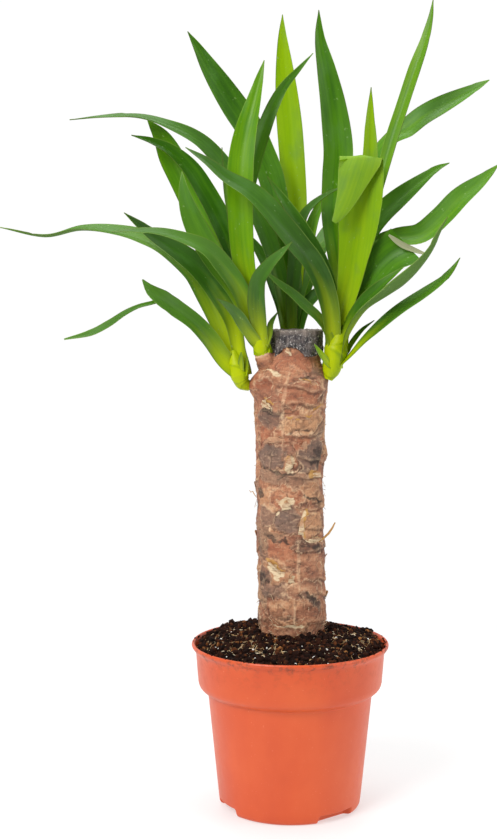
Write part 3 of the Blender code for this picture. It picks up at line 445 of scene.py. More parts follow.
def painted_board():
    """Smooth white painted board under the pot, lit enough to pass into the white behind it."""
    board = new_finish("painted_board")
    tooth = grain(board, 2.0, detail=2.0)
    shader = add(board, "BsdfPrincipled", {
        "Base Color": BOARD_WHITE, "Roughness": 0.6,
        "Normal": add(board, "Bump", {"Strength": 0.05, "Distance": 0.1 * MM, "Height": tooth}),
        "Emission Color": BOARD_LIT, "Emission Strength": BOARD_GLOW,
    })
    add(board, "OutputMaterial", (shader,))
    return board


# What the photograph shows on the bark and the soil

# Bark marks at the front: angle, height, half angle, half height, slope in millimetres a degree. Plates of
# bark have three more numbers: lightness, greyness and warmth, from rust at -1 to tan at 1
PLATES = (
    (284, 255.0, 46, 8.0, 0.05, 0.1, 0.0, -0.7), (222, 250.5, 30, 7.0, 0.0, 0.0, 0.2, -0.6),
    (290, 238.0, 40, 7.5, 0.1, 0.5, 0.0, 0.8), (229, 241.0, 26, 6.2, -0.04, -0.7, 0.6, 0.0),
    (228, 231.0, 24, 4.2, 0.0, 0.1, 0.0, -1.0), (262, 229.0, 26, 4.6, -0.1, 0.0, 0.0, -0.4),
    (234, 217.5, 28, 6.8, 0.0, -0.5, 0.9, 0.0), (292, 225.5, 20, 4.6, 0.1, 0.3, 0.0, -0.9),
    (308, 219.0, 27, 9.2, 0.12, -0.7, 0.8, 0.0), (262, 214.0, 9, 5.2, 0.35, 0.9, 0.0, 0.4),
    (282, 204.0, 44, 5.4, -0.06, -0.1, 0.4, 0.3), (236, 205.0, 26, 4.6, -0.05, -0.2, 0.6, 0.3),
    (307, 197.5, 26, 6.6, 0.05, 0.2, 0.1, 0.6), (262, 193.0, 30, 6.6, 0.0, 0.3, 0.0, -0.6),
    (264, 179.0, 24, 8.2, 0.0, -0.5, 0.9, 0.0), (222, 181.0, 17, 7.0, 0.0, -0.4, 0.7, 0.2),
    (308, 176.5, 24, 8.4, 0.05, 0.4, 0.0, 0.7), (252, 161.5, 30, 7.0, 0.0, 0.0, 0.0, -0.9),
    (304, 162.5, 30, 4.4, -0.04, -0.7, 0.2, 0.0), (308, 151.5, 26, 7.0, 0.03, 0.1, 0.1, -0.2),
    (240, 148.0, 26, 7.0, -0.1, 0.3, 0.0, 0.5), (214, 143.0, 16, 8.0, 0.0, -0.8, 0.5, 0.0),
    (238, 136.5, 30, 5.0, 0.0, -0.4, 0.7, 0.2), (292, 137.5, 36, 5.6, 0.03, 0.0, 0.2, 0.1),
    (252, 125.5, 26, 5.6, 0.0, 0.4, 0.0, 0.2), (300, 123.0, 30, 6.0, 0.0, 0.2, 0.0, 0.0),
    (306, 130.5, 18, 3.4, -0.24, -1.0, 0.4, 0.0), (262, 273.5, 44, 5.4, 0.0, 0.2, 0.0, -0.8),
)
# How many smaller plates lie under those, drawn by a seeded rule
PLATE_COUNT = 90
STAINS = (
    (232, 244.5, 20, 2.2, -0.03), (296, 264.8, 18, 1.2, 0.0), (320, 217.5, 14, 6.0, 0.05),
    (207, 195.5, 12, 3.6, 0.0), (316, 163.5, 26, 1.6, -0.03), (211, 143.0, 12, 4.0, 0.0),
    (308, 130.5, 15, 2.4, -0.24), (240, 208.9, 26, 0.9, -0.083), (312, 191.8, 30, 0.9, -0.1),
    (242, 168.0, 28, 1.0, -0.067), (290, 233.5, 22, 0.7, 0.05), (262, 206.2, 14, 0.8, 0.1),
)
TEARS = (
    (223, 248.0, 15, 1.7, -0.145), (269, 212.5, 8, 4.6, 0.35), (263, 190.5, 13, 4.2, 0.0),
    (245, 182.8, 5, 1.9, 0.0), (289, 177.5, 4, 8.0, 0.0), (318, 167.2, 26, 1.2, -0.06),
    (238, 148.2, 16, 4.2, -0.18), (268, 144.0, 6.5, 2.3, 0.0), (255, 280.3, 7, 1.8, -0.3),
    (221, 268.8, 26, 1.1, -0.08), (297, 261.8, 22, 1.2, -0.12), (260, 115.5, 30, 1.2, 0.0),
)
GOLDS = (
    (264, 214.0, 5, 5.0, 0.3), (293, 178.0, 4, 8.5, 0.0), (239, 152.6, 19, 1.1, -0.24),
    (312, 207.5, 11, 2.6, 0.0), (284, 241.8, 24, 1.1, 0.0), (314, 245.8, 18, 1.1, 0.2),
    (252, 282.0, 6, 1.3, -0.3), (230, 250.0, 14, 0.8, -0.14),
)
SEAMS = ((256, 247.0, 3.0, 23.0, 0.0), (280.7, 152.5, 3.0, 16.0, 0.0), (272.5, 122.0, 2.0, 9.0, 0.0))
# Loose flakes: angle, height of the held edge, width, how tall, lean, lift, and 1 where it shows pale
FLAKES = (
    (223, 247.0, 9, 3.2, -0.35, 1.5, 1), (266, 210.0, 5, 8.5, 0.6, 2.0, 1),
    (287, 171.0, 4, 10.0, 0.1, 1.6, 1), (238, 149.5, 11, 4.0, -0.7, 1.8, 1),
    (318, 166.0, 14, 2.6, -0.2, 1.6, 1), (252, 279.3, 4, 3.4, -0.5, 1.2, 1),
    (297, 261.0, 13, 3.0, -0.2, 1.3, 0), (221, 267.5, 12, 3.4, -0.2, 1.5, 0),
    (291, 221.5, 6, 6.0, 0.3, 1.5, 0), (262, 186.0, 6, 6.0, 0.2, 1.6, 1),
    (206, 262.0, 9, 4.5, -0.4, 1.4, 0), (345, 213.0, 8, 7.0, 0.1, 1.6, 0),
    (284, 240.0, 14, 2.8, 0.0, 1.2, 0), (312, 243.5, 10, 2.6, 0.4, 1.2, 0),
    (268, 142.0, 4, 3.6, 0.0, 1.4, 1), (240, 226.0, 16, 4.0, 0.1, 1.4, 0),
    (318, 205.0, 12, 3.4, -0.1, 1.3, 1),
)
# Broken leaf stubs and a hair: each spot is angle, height, out of the bark
STUBS = (
    (((322, 165.5, 0.3), (334, 167.0, 1.2), (345, 169.5, 3.2), (350, 172.5, 5.2), (352, 176.0, 7.0)), 0.75),
    (((186, 191.0, 0.2), (181, 192.5, 1.2), (178, 194.5, 2.4), (176, 193.8, 3.6), (175, 195.0, 4.4)), 0.3),
    (((300, 261.0, 0.4), (296, 263.0, 1.0), (290, 264.0, 1.5), (284, 264.4, 1.6), (280, 264.0, 1.2)), 0.4),
)
# Perlite at the front: angle, reach from the middle, radius
PERLITE_GRAINS = (
    (196, 44, 1.1), (205, 50, 0.8), (236, 41, 1.0), (246, 36, 0.8), (262, 30, 0.9), (286, 46, 0.9),
    (301, 40, 1.0), (318, 50, 0.8), (332, 45, 1.2), (338, 52, 0.9), (347, 38, 0.8), (222, 52, 0.7),
    (272, 52, 0.8), (293, 53, 0.7), (250, 49, 0.6), (182, 36, 0.9), (208, 30, 0.8), (350, 48, 0.8),
)
# Pale roots: angle, reach, heading and length
PALE_ROOTS = (
    (236, 46, 10, 26), (254, 40, -20, 18), (318, 42, 40, 16), (328, 50, 100, 12), (205, 42, 60, 18),
    (345, 45, 150, 14), (216, 34, 250, 14), (120, 40, 30, 24), (70, 38, 160, 22), (20, 44, 100, 18),
)
# Heaps of soil: angle, reach from the middle, rise, spread
HEAPS = (
    (140, 44, 2.8, 15), (168, 48, 3.5, 14), (100, 49, 1.8, 16), (60, 49, 1.2, 16), (16, 54, 5.0, 12),
    (197, 50, 2.5, 13), (350, 53, 3.0, 12),
)
# Bark collars: how far up its stem each one reaches, and how much it swells at its foot
COLLARS = {"shoot_left_high": (1.15, 1.6), "shoot_back": (1.0, 1.6)}
# Smaller swellings and one hollow of the cane, in the same form as the seats
SHOULDERS = (
    (206, 271.0, 4.6, 32, 7.0), (235, 268.0, 2.0, 24, 6.0), (195, 265.0, 2.4, 20, 5.0),
    (352, 218.0, 1.8, 20, 5.0), (344, 264.0, -1.6, 24, 7.0), (182, 243.0, 1.0, 18, 8.0),
)


# Shapes


def polar(radius, angle, height=0.0):
    """The point at a radius and an angle round the pot's axis, at a height."""
    turn = math.radians(angle)
    return Vector((radius * math.cos(turn), radius * math.sin(turn), height))


def along(table, place):
    """The value at a place between the rows of a table of (place, value)."""
    places, values = zip(*table)
    return float(np.interp(place, places, values))


def angle_apart(a, b):
    """The turn from one angle to another, from -180 to 180."""
    return (a - b + 180) % 360 - 180


def rumple(points, size, seed=0.0):
    """Smooth noise at each point, from about -1 to 1, whose lumps are about size across."""
    return np.array([noise.noise(Vector(p) / size + Vector((seed, seed * 0.7, -seed))) for p in points])


def grid_faces(rows, columns, closed=True):
    """The quads of a grid of points, whose rows may close into rings."""
    across = columns if closed else columns - 1
    row, column = np.meshgrid(np.arange(rows - 1), np.arange(across), indexing="ij")
    after = (column + 1) % columns
    low, high = row * columns, (row + 1) * columns
    quads = np.stack([low + column, low + after, high + after, high + column], axis=-1)
    return quads.reshape(-1, 4).tolist()


def tube_faces(rings, sides, start=0):
    """The faces of a stack of rings with a cap at each end, whose first point has the number start."""
    sheet = [tuple(start + n for n in quad) for quad in grid_faces(rings, sides)]
    last = start + (rings - 1) * sides
    return sheet + [tuple(range(start, start + sides))[::-1], tuple(range(last, last + sides))]


def join_on(points, faces, more, more_faces):
    """Adds one mesh's points and faces to another's."""
    start = len(points)
    points.extend(more)
    faces.extend(tuple(start + n for n in face) for face in more_faces)


def bell(spots, width):
    """A smooth hump: 1 at 0, and nearly nothing past twice its width."""
    return np.exp(-(spots / width) ** 2)


def piece(name, points, faces, finish, **marks):
    """A mesh from points in millimetres, with named marks at its points."""
    mesh = bpy.data.meshes.new(name)
    mesh.from_pydata((np.asarray(points, dtype=float) * MM).tolist(), [], faces)
    for label, values in marks.items():
        values = np.asarray(values, dtype=np.float32)
        kind, field = ("FLOAT", "value") if values.ndim == 1 else ("FLOAT_VECTOR", "vector")
        mesh.attributes.new(label, kind, "POINT").data.foreach_set(field, values.ravel())
    mesh.materials.append(finish)
    mesh.shade_smooth()
    made = bpy.data.objects.new(name, mesh)
    bpy.context.scene.collection.objects.link(made)
    return made


def set_in_frame(made, slot, *nodes):
    """Fixes a piece to the part and hides the solids that it stands for. Its slot is not used."""
    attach(made, BODY)
    if nodes:
        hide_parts(*nodes)


def soften(profile, reach):
    """A profile whose corners are cut back by a small curve."""
    soft = [profile[0]]
    for before, corner, after in zip(profile, profile[1:], profile[2:]):
        before, corner, after = (np.array(p) for p in (before, corner, after))
        start = corner + (before - corner) * min(0.45, reach / np.linalg.norm(before - corner))
        end = corner + (after - corner) * min(0.45, reach / np.linalg.norm(after - corner))
        for t in (0.0, 0.5, 1.0):
            soft.append(tuple(start * (1 - t) ** 2 + corner * 2 * t * (1 - t) + end * t * t))
    return soft + [profile[-1]]


# Pot


def recess_share(angle):
    """How far into a drain recess an angle lies, from 0 on the plain wall to 1 in the recess, and how far
    it is from the middle of the nearest one."""
    apart = min(abs(angle_apart(angle, centre)) for centre in RECESS_CENTRES)
    share = (RECESS_GONE - apart) / (RECESS_GONE - RECESS_FULL)
    share = min(1.0, max(0.0, share))
    return share * share * (3 - 2 * share), apart


def foot_profile(angle):
    """The wall's foot at an angle, bent in and over where a drain recess is."""
    share, apart = recess_share(angle)
    reach = RECESS_REACH / math.cos(math.radians(min(apart, RECESS_GONE)))
    roof, soft = RECESS_ROOF, RECESS_ROUND
    recess = (
        (reach - soft, 0.0), (reach, soft), (reach, roof - soft), (reach + soft, roof),
        (max(reach + 2 * soft, 42.4), roof), (43.55, roof + 0.1), (43.85, roof + 0.45),
    )
    return [
        (plain[0] + (bent[0] - plain[0]) * share, plain[1] + (bent[1] - plain[1]) * share)
        for plain, bent in zip(POT_FOOT, recess)
    ]


def pot_angles():
    """Angles of the pot's columns: even all round, and closer at the sides of each recess."""
    angles = set(float(a) for a in np.arange(0, 360, COLUMN_STEP))
    for centre in RECESS_CENTRES:
        for side in (-1, 1):
            for step in np.linspace(RECESS_FULL - 0.3, RECESS_GONE + 0.3, 8):
                angles.add((centre + side * step) % 360)
    ordered = sorted(angles)
    return [a for a, b in zip(ordered, ordered[1:] + [ordered[0] + 360]) if b - a > COLUMN_GAP]


def make_pot(finish):
    """The moulded pot: one wall from its floor out, up, over the rim and back down inside, then drilled."""
    outside = soften(POT_SIDE, SOFT_CORNER)
    inside = [LINING_TOP] + [(r - WALL, z) for r, z in POT_SIDE[6:0:-1]] + [LINING_FOOT]
    points, dust = [], []
    angles = pot_angles()
    columns = []
    for angle in angles:
        foot = foot_profile(angle)
        lining = [(r - WALL, z + WALL) for r, z in reversed(foot)]
        floor, floor_inside = (FLOOR_RADIUS, 0.0), (FLOOR_RADIUS, WALL)
        columns.append([floor] + foot + outside + inside + lining + [floor_inside])
    rows = len(columns[0])
    for row in range(rows):
        for angle, column in zip(angles, columns):
            radius, height = column[row]
            oval = 1 + POT_OVAL * math.sin(math.radians(2 * angle + POT_OVAL_TURN)) * height / 100
            points.append(polar(radius * oval, angle, height))
            near_rim = max(0.0, 1 - abs(height - DUST_HEIGHT) / DUST_REACH)
            dust.append(near_rim if radius > DUST_RADIUS else 0.0)
    pot = piece("nursery_pot", points, tube_faces(rows, len(angles)), finish, dust=dust)
    pins = []
    for centre in RECESS_CENTRES:
        middle = polar(DRAIN_REACH, centre)
        turns = [360 * k / DRAIN_SIDES for k in range(DRAIN_SIDES)]
        points = [middle + polar(DRAIN_RADIUS, turn, height) for height in DRAIN_SPAN for turn in turns]
        pins.append(piece("drain_pin", points, tube_faces(2, DRAIN_SIDES), finish))
    drill(pot, pins)
    pot.data.set_sharp_from_angle(angle=math.radians(50))
    set_in_frame(pot, "pot", "pot")


def drill(target, pins):
    """Cuts the pins out of the target, and removes them."""
    cutters = bpy.data.collections.new("cutters")
    for pin in pins:
        cutters.objects.link(pin)
    cut = target.modifiers.new("drill", "BOOLEAN")
    cut.operation, cut.solver = "DIFFERENCE", "EXACT"
    cut.operand_type, cut.collection = "COLLECTION", cutters
    graph = bpy.context.evaluated_depsgraph_get()
    drilled = bpy.data.meshes.new_from_object(target.evaluated_get(graph))
    target.modifiers.remove(cut)
    target.data = drilled
    for pin in pins:
        bpy.data.objects.remove(pin)
    bpy.data.collections.remove(cutters)


# Soil


def soil_height(x, y):
    """The mounded surface: highest at the cane, with lumps that die out at the rim and at the cane."""
    reach = math.hypot(x, y)
    share = min(1.0, max(0.0, (SOIL_EDGE - reach) / (SOIL_EDGE - SOIL_HOLE)))
    spot = Vector((x, y, SOIL_MOUND_HEIGHT))
    lump = noise.noise(spot / SOIL_LUMP_SIZE) * SOIL_LUMP + noise.noise(spot / SOIL_CLOD_SIZE) * SOIL_CLOD
    lump = lump * math.sin(math.pi * share) + noise.noise(spot / SOIL_GRIT_SIZE) * SOIL_GRIT
    for angle, heap_reach, rise, spread in HEAPS:
        gap = (spot.xy - polar(heap_reach, angle).xy).length / spread
        lump += rise * math.exp(-gap * gap) * min(1.0, 0.35 + share * 4)
    return SOIL_EDGE_HEIGHT + (SOIL_MOUND_HEIGHT - SOIL_EDGE_HEIGHT) * share ** SOIL_SLOPE_POWER + lump


def make_soil(finish):
    """The soil that fills the pot, with its mound, the hole for the cane, and its loose crumbs."""
    hole = Vector((CANE_LEAN[0][1], 0, 0))
    angles = [360 * k / SOIL_SIDES for k in range(SOIL_SIDES)]
    rings = [[polar(radius, a, height) for a in angles] for radius, height in SOIL_SIDE]
    for step in range(SOIL_RINGS + 1):
        reach = SOIL_EDGE + (SOIL_HOLE - SOIL_EDGE) * step / SOIL_RINGS
        centre = hole * step / SOIL_RINGS
        flat = [centre + polar(reach, a) for a in angles]
        rings.append([Vector((p.x, p.y, soil_height(p.x, p.y))) for p in flat])
    rings.append([hole + polar(SOIL_HOLE, a, CANE_FOOT - CLEAR) for a in angles])
    points = [p for ring in rings for p in ring]
    faces = tube_faces(len(rings), SOIL_SIDES)
    tone = [0.25 + 0.1 * noise.noise(p / 5) for p in points]
    scatter_crumbs(points, faces, tone)
    set_in_frame(piece("potting_soil", points, faces, finish, tone=tone), "soil", "soil")


def gem():
    """A twenty-faced grain of radius 1."""
    golden = (1 + 5 ** 0.5) / 2
    corners = []
    for a in (-1, 1):
        for b in (-golden, golden):
            corners += [(0, a, b), (a, b, 0), (b, 0, a)]
    corners = np.array(corners) / np.linalg.norm(corners[0])
    faces = []
    for i in range(12):
        for j in range(i + 1, 12):
            for k in range(j + 1, 12):
                trio = corners[[i, j, k]]
                spans = [np.linalg.norm(trio[m] - trio[m - 1]) for m in range(3)]
                if max(spans) < 1.1:
                    outward = np.dot(np.cross(trio[1] - trio[0], trio[2] - trio[0]), trio.sum(0)) > 0
                    faces.append((i, j, k) if outward else (i, k, j))
    return corners, faces


GEM_CORNERS, GEM_FACES = gem()


def grains_of(spots, draw, jitter=0.25):
    """Jagged grains, each a spot of (centre, radius, tone)."""
    points, faces, tone = [], [], []
    for centre, radius, shade in spots:
        turn = np.array(Euler([draw.uniform(0, math.tau) for _ in range(3)]).to_matrix())
        spread = np.array([draw.uniform(0.65, 1.3) for _ in range(3)])
        rough = np.array([draw.uniform(1 - jitter, 1 + jitter) for _ in range(12)])
        shape = (GEM_CORNERS * rough[:, None] * spread) @ turn * radius + np.array(centre)
        join_on(points, faces, shape.tolist(), GEM_FACES)
        tone.extend([shade] * 12)
    return points, faces, tone


def on_soil(draw, inner=SOIL_HOLE + 0.5, outer=SOIL_EDGE - 0.5):
    """A spot somewhere on the soil."""
    reach = math.sqrt(draw.uniform(inner ** 2, outer ** 2))
    spot = polar(reach, draw.uniform(0, 360))
    spot.z = soil_height(spot.x, spot.y)
    return spot


def scatter_crumbs(points, faces, tone):
    """Adds the loose crumbs of the soil, some of them on the rim."""
    draw = random.Random(11)
    spots = []
    for _ in range(CRUMBS):
        spot = on_soil(draw)
        radius = draw.choice(CRUMB_SIZES)
        lifted = spot + Vector((0, 0, radius * draw.uniform(-0.2, 0.6)))
        spots.append((lifted, radius, draw.gauss(0.36, 0.26)))
    for _ in range(RIM_CRUMBS):
        angle = draw.choice((draw.gauss(338, 16), draw.gauss(215, 25), draw.uniform(0, 360)))
        radius = draw.uniform(0.3, 0.8)
        on_rim = polar(draw.uniform(RIM_INNER, RIM_OUTER), angle, RIM_TOP + radius * 0.3)
        spots.append((on_rim, radius, draw.gauss(0.45, 0.2)))
    more, more_faces, more_tone = grains_of(spots, draw)
    join_on(points, faces, more, more_faces)
    tone.extend(more_tone)


def thread(route, radius, sides=5, end_share=0.5):
    """A thin thread along a route, as points and faces, thinner at both ends."""
    points, count = [], len(route)
    for i, here in enumerate(route):
        ahead = route[min(i + 1, count - 1)] - route[max(i - 1, 0)]
        turn = ahead.to_track_quat("Z", "Y")
        taper = end_share + (1 - end_share) * math.sin(math.pi * i / (count - 1))
        points += [here + turn @ polar(radius * taper, 360 * k / sides) for k in range(sides)]
    return points, tube_faces(count, sides)


def lay_thread(points, faces, route, radius, marks):
    """Adds a thread to a mesh. Each of its marks is a list, and the value that goes there all along it."""
    more, more_faces = thread(route, radius)
    join_on(points, faces, more, more_faces)
    for values, value in marks:
        values.extend([value] * len(more))


def wander(start, heading, length, draw, bend=30.0, rise=None):
    """A route that wanders from a start: on the soil, or where rise says how its height goes."""
    steps = max(5, int(length / 1.6))
    route, angle, here = [], heading, Vector(start)
    curl = draw.uniform(-bend, bend) / 3
    for step in range(steps + 1):
        route.append(here.copy())
        angle += curl + draw.uniform(-bend, bend)
        here = here + polar(length / steps, angle)
        here.z = soil_height(here.x, here.y) + 0.5 if rise is None else start.z + rise * (step + 1) / steps
    return route


def make_threads(finish):
    """Root hairs and coir on the soil: matted at the left and right, a few pale roots, and strays."""
    draw = random.Random(5)
    points, faces, tone = [], [], []
    for centre, spread, count in FIBRE_MATS:
        for _ in range(count):
            angle = draw.gauss(centre, spread) if spread < 90 else draw.uniform(0, 360)
            start = polar(draw.uniform(24, 54), angle)
            start.z = soil_height(start.x, start.y)
            route = [p for p in wander(start, draw.uniform(0, 360), draw.uniform(5, 18), draw)
                     if SOIL_HOLE + 0.6 < math.hypot(p.x, p.y) < SOIL_EDGE - 0.4]
            if len(route) > 4:
                radius, shade = draw.uniform(0.15, 0.32), draw.gauss(0.55, 0.25)
                lay_thread(points, faces, route, radius, [(tone, shade)])
    for angle, reach, heading, length in PALE_ROOTS:
        start = polar(reach, angle)
        start.z = soil_height(start.x, start.y)
        route = wander(start, heading, length, draw, bend=14)
        lay_thread(points, faces, route, 0.24, [(tone, 0.95)])
    made = piece("root_threads", points, faces, finish, tone=tone)
    set_in_frame(made, "soil")


def make_perlite(finish):
    """White grains in the soil: those that the photograph shows at the front, and small ones all over."""
    draw = random.Random(21)
    spots = []
    for angle, reach, radius in PERLITE_GRAINS:
        spot = polar(reach, angle)
        spots.append((Vector((spot.x, spot.y, soil_height(spot.x, spot.y) + radius * 0.7)), radius, 1.0))
    for _ in range(SMALL_PERLITE):
        spot = on_soil(draw)
        radius = draw.uniform(0.35, 0.75)
        spots.append((spot + Vector((0, 0, radius * 0.5)), radius, 1.0))
    points, faces, _ = grains_of(spots, draw, jitter=0.15)
    set_in_frame(piece("perlite_grains", points, faces, finish), "soil")


# Cane


def scar_lines(angles, heights):
    """How far each spot lies above the nearest leaf scar's line, and how strong that scar is there."""
    above = np.full(angles.shape, 99.0)
    strength = np.zeros(angles.shape)
    first = int(SOIL_LINE / SCAR_SPACING) - 1
    for number in range(first, int(SCARS_END / SCAR_SPACING) + 2):
        phase = np.radians(angles + number * GOLDEN_ANGLE)
        line = number * SCAR_SPACING + SCAR_TILT * np.sin(phase) + 1.1 * np.sin(2.3 * phase + number)
        line += 0.5 * np.sin(7 * phase + 2 * number)
        gap = heights - line
        closer = np.abs(gap) < np.abs(above)
        power = 0.25 + 0.4 * np.sin(phase * 2 + number * 1.7)
        above = np.where(closer, gap, above)
        strength = np.where(closer, np.clip(power, 0, 1), strength)
    inside = (heights > SCARS_START) & (heights < SCARS_END)
    return above, np.where(inside, strength, 0.0)


def bark_field(angles, heights, rows, wave=0.0):
    """How strong a kind of bark mark is at each spot, from rows of (angle, height, half angle, half height,
    slope)."""
    field = np.zeros(angles.shape)
    for angle, height, half_angle, half_height, slope in rows:
        turn = angle_apart(angles, angle)
        rise = heights - height - slope * turn
        reach = (turn / half_angle) ** 2 + (rise / half_height) ** 2 + wave
        field = np.maximum(field, 1 / (1 + np.exp((reach - 1) * 5)))
    return field


def bark_plates(angles, heights, wave):
    """The papery plates that overlap on the bark: how far each spot is raised, how strong its plate's pale
    rim, partly painted highlight, and the painted shadow just under its lower edge are there, and the
    plate's lightness, greyness and warmth. A later plate lies over an earlier one."""
    draw = random.Random(11)
    rows = [
        (draw.uniform(0, 360), draw.uniform(116, 266), draw.uniform(14, 34), draw.uniform(4, 10),
         draw.uniform(-0.14, 0.14), draw.uniform(-0.8, 0.9), draw.choice((0, 0, 0.5)), draw.uniform(-1, 1))
        for _ in range(PLATE_COUNT)
    ]
    raised, rim, light, grey, warm, gap = (np.zeros(angles.shape) for _ in range(6))
    for number, (angle, height, half_angle, half_height, slope, lightness, greyness, warmth) in enumerate(
        rows + list(PLATES)
    ):
        turn = angle_apart(angles, angle)
        rise = heights - height - slope * turn
        reach = (np.abs(turn / half_angle) ** 2.6 + np.abs(rise / half_height) ** 2.6) ** 0.38 + wave
        inside = 1 / (1 + np.exp((reach - 1) * 22))
        # A pale rim round each plate: partly painted highlight on its lifted edge
        edge = bell(reach - 0.97, 0.06) * (0.5 + 0.5 * math.sin(number * 2.4))
        raised = raised * (1 - inside) + (0.3 + 0.5 * abs(math.sin(number * 1.9))) * inside
        # Painted shadow: a dark band just under the plate's lower edge
        below = bell(reach - 1.06, 0.05) * (rise < 0) * (0.6 + 0.4 * math.sin(number * 3.1))
        gap = np.maximum(gap * (1 - inside), below)
        rim = np.maximum(rim * (1 - inside), edge)
        light = light * (1 - inside) + lightness * inside
        grey = grey * (1 - inside) + greyness * inside
        warm = warm * (1 - inside) + warmth * inside
    return raised, rim, gap, light, grey, warm


def back_marks(seed, count, half_angle, half_height):
    """Marks for the back of the cane, drawn by a seeded rule."""
    draw = random.Random(seed)
    return tuple(
        (draw.uniform(-5, 178), draw.uniform(118, 262), half_angle * draw.uniform(0.5, 1.2),
         half_height * draw.uniform(0.5, 1.2), draw.uniform(-0.12, 0.12))
        for _ in range(count)
    )


def make_cane(finish):
    """The cut cane: a fine grid round its leaning axis, raised and coloured by its scars and bark marks."""
    sides, bark_foot = CANE_SIDES, SOIL_LINE - BARK_UNDER_SOIL
    steps = int((CANE_TOP - bark_foot) / CANE_RISE)
    heights = [CANE_FOOT, 70.0] + np.linspace(bark_foot, CANE_TOP, steps + 1).tolist()
    angle_row = np.arange(sides) * 360 / sides
    heights, angles = np.meshgrid(heights, angle_row, indexing="ij")
    heights, angles = heights.ravel(), angles.ravel()
    turn = np.radians(angles)
    flat = np.stack([20 * np.cos(turn), 20 * np.sin(turn), heights], axis=-1)
    big, middle, small = (rumple(flat, size, seed) for size, seed in BARK_RUMPLES)
    above, strength = scar_lines(angles, heights + big * 1.6 + middle * 0.8)
    # Pale just above each scar line, partly painted highlight on the lifted edge; dark just below it,
    # partly painted shadow
    ridge = np.where(above >= 0, bell(above, 0.9), bell(above, 0.4)) * strength
    crease = bell(above + 1.2, 0.8) * strength
    plate = np.where(above >= 0, np.exp(-above / 4.5), bell(above, 0.6)) * strength
    turned = angles + 9 * rumple(flat, 6.0, 3.0) + 4 * rumple(flat, 2.2, 7.0)
    raised = heights + 2.4 * rumple(flat, 6.0, 13.0) + 1.2 * rumple(flat, 2.2, 17.0)
    seam = bark_field(angles + 2 * big, heights, SEAMS) * (0.6 + 0.4 * middle)
    wave = 0.45 * middle + 0.25 * small
    sheet, rim, gap, light, grey, warm = bark_plates(turned, raised, 0.14 * middle + 0.1 * small)
    stain = bark_field(turned, raised, STAINS + back_marks(3, 9, 12, 3), wave)
    cream = bark_field(turned, raised, TEARS + back_marks(6, 6, 9, 3), wave * 0.7)
    gold = bark_field(turned, raised, GOLDS + back_marks(7, 5, 7, 2), wave * 0.7)
    radius = np.interp(heights, *zip(*CANE_RADIUS))
    for seat_angle, seat_height, stands_out, half_angle, half_height in SEATS + SHOULDERS:
        turn_share = angle_apart(angles, seat_angle) / half_angle
        rise_share = (heights - seat_height) / half_height
        radius += stands_out * np.exp(-turn_share ** 2 - rise_share ** 2)
    network = rumple(flat * (1, 1, 1.5), WRINKLE_SIZE, WRINKLE_SEED)
    crossed = np.clip(0.5 + big, 0, 1)
    wrinkle = bell(network, WRINKLE_WIDTH) * crossed
    # Wrinkles: a dark line, partly painted shadow, with a pale line beside it, partly painted highlight
    crease = np.maximum(crease, 0.6 * wrinkle)
    ridge = np.maximum(ridge, 0.6 * bell(network - 2 * WRINKLE_WIDTH, WRINKLE_WIDTH) * crossed)
    # Painted shadow under the plates' lower edges darkens the creases too
    crease = np.maximum(crease, 0.75 * gap)
    seen = np.clip((heights - bark_foot) / 5, 0, 1)
    relief = 0.9 * plate - 0.5 * crease + 0.8 * seam + 0.4 * big + 0.45 * middle + 0.24 * small
    relief += sheet + 0.25 * rim - 0.2 * stain + 0.3 * gold - 0.25 * cream - 0.3 * wrinkle - 0.4
    under_wax = np.clip((WAX_EDGE - 4 - heights) / 3, 0.12, 1)
    radius += relief * seen * under_wax
    radius = np.where(heights > WAX_EDGE - 3, np.minimum(radius, WAX_INNER - 0.3), radius)
    centre = np.interp(heights, *zip(*CANE_LEAN))
    points = np.stack([centre + radius * np.cos(turn), radius * np.sin(turn), heights], axis=-1)
    # Pale ridges from scar lines, seams and plate rims, the rims partly painted highlight
    ridge = np.maximum(np.maximum(ridge * 0.8, seam), rim * 0.9) * seen
    cane = piece(
        "yucca_cane", points, tube_faces(len(heights) // sides, sides), finish,
        ridge=ridge, crease=crease * seen, stain=stain, light=light, grey=grey, warm=warm, gold=gold,
        cream=cream,
    )
    set_in_frame(cane, "bark", "cane")


def cane_point(angle, height, out=0.0):
    """A spot on the bark, or this far out of it."""
    return Vector((along(CANE_LEAN, height), 0, 0)) + polar(along(CANE_RADIUS, height) + out, angle, height)


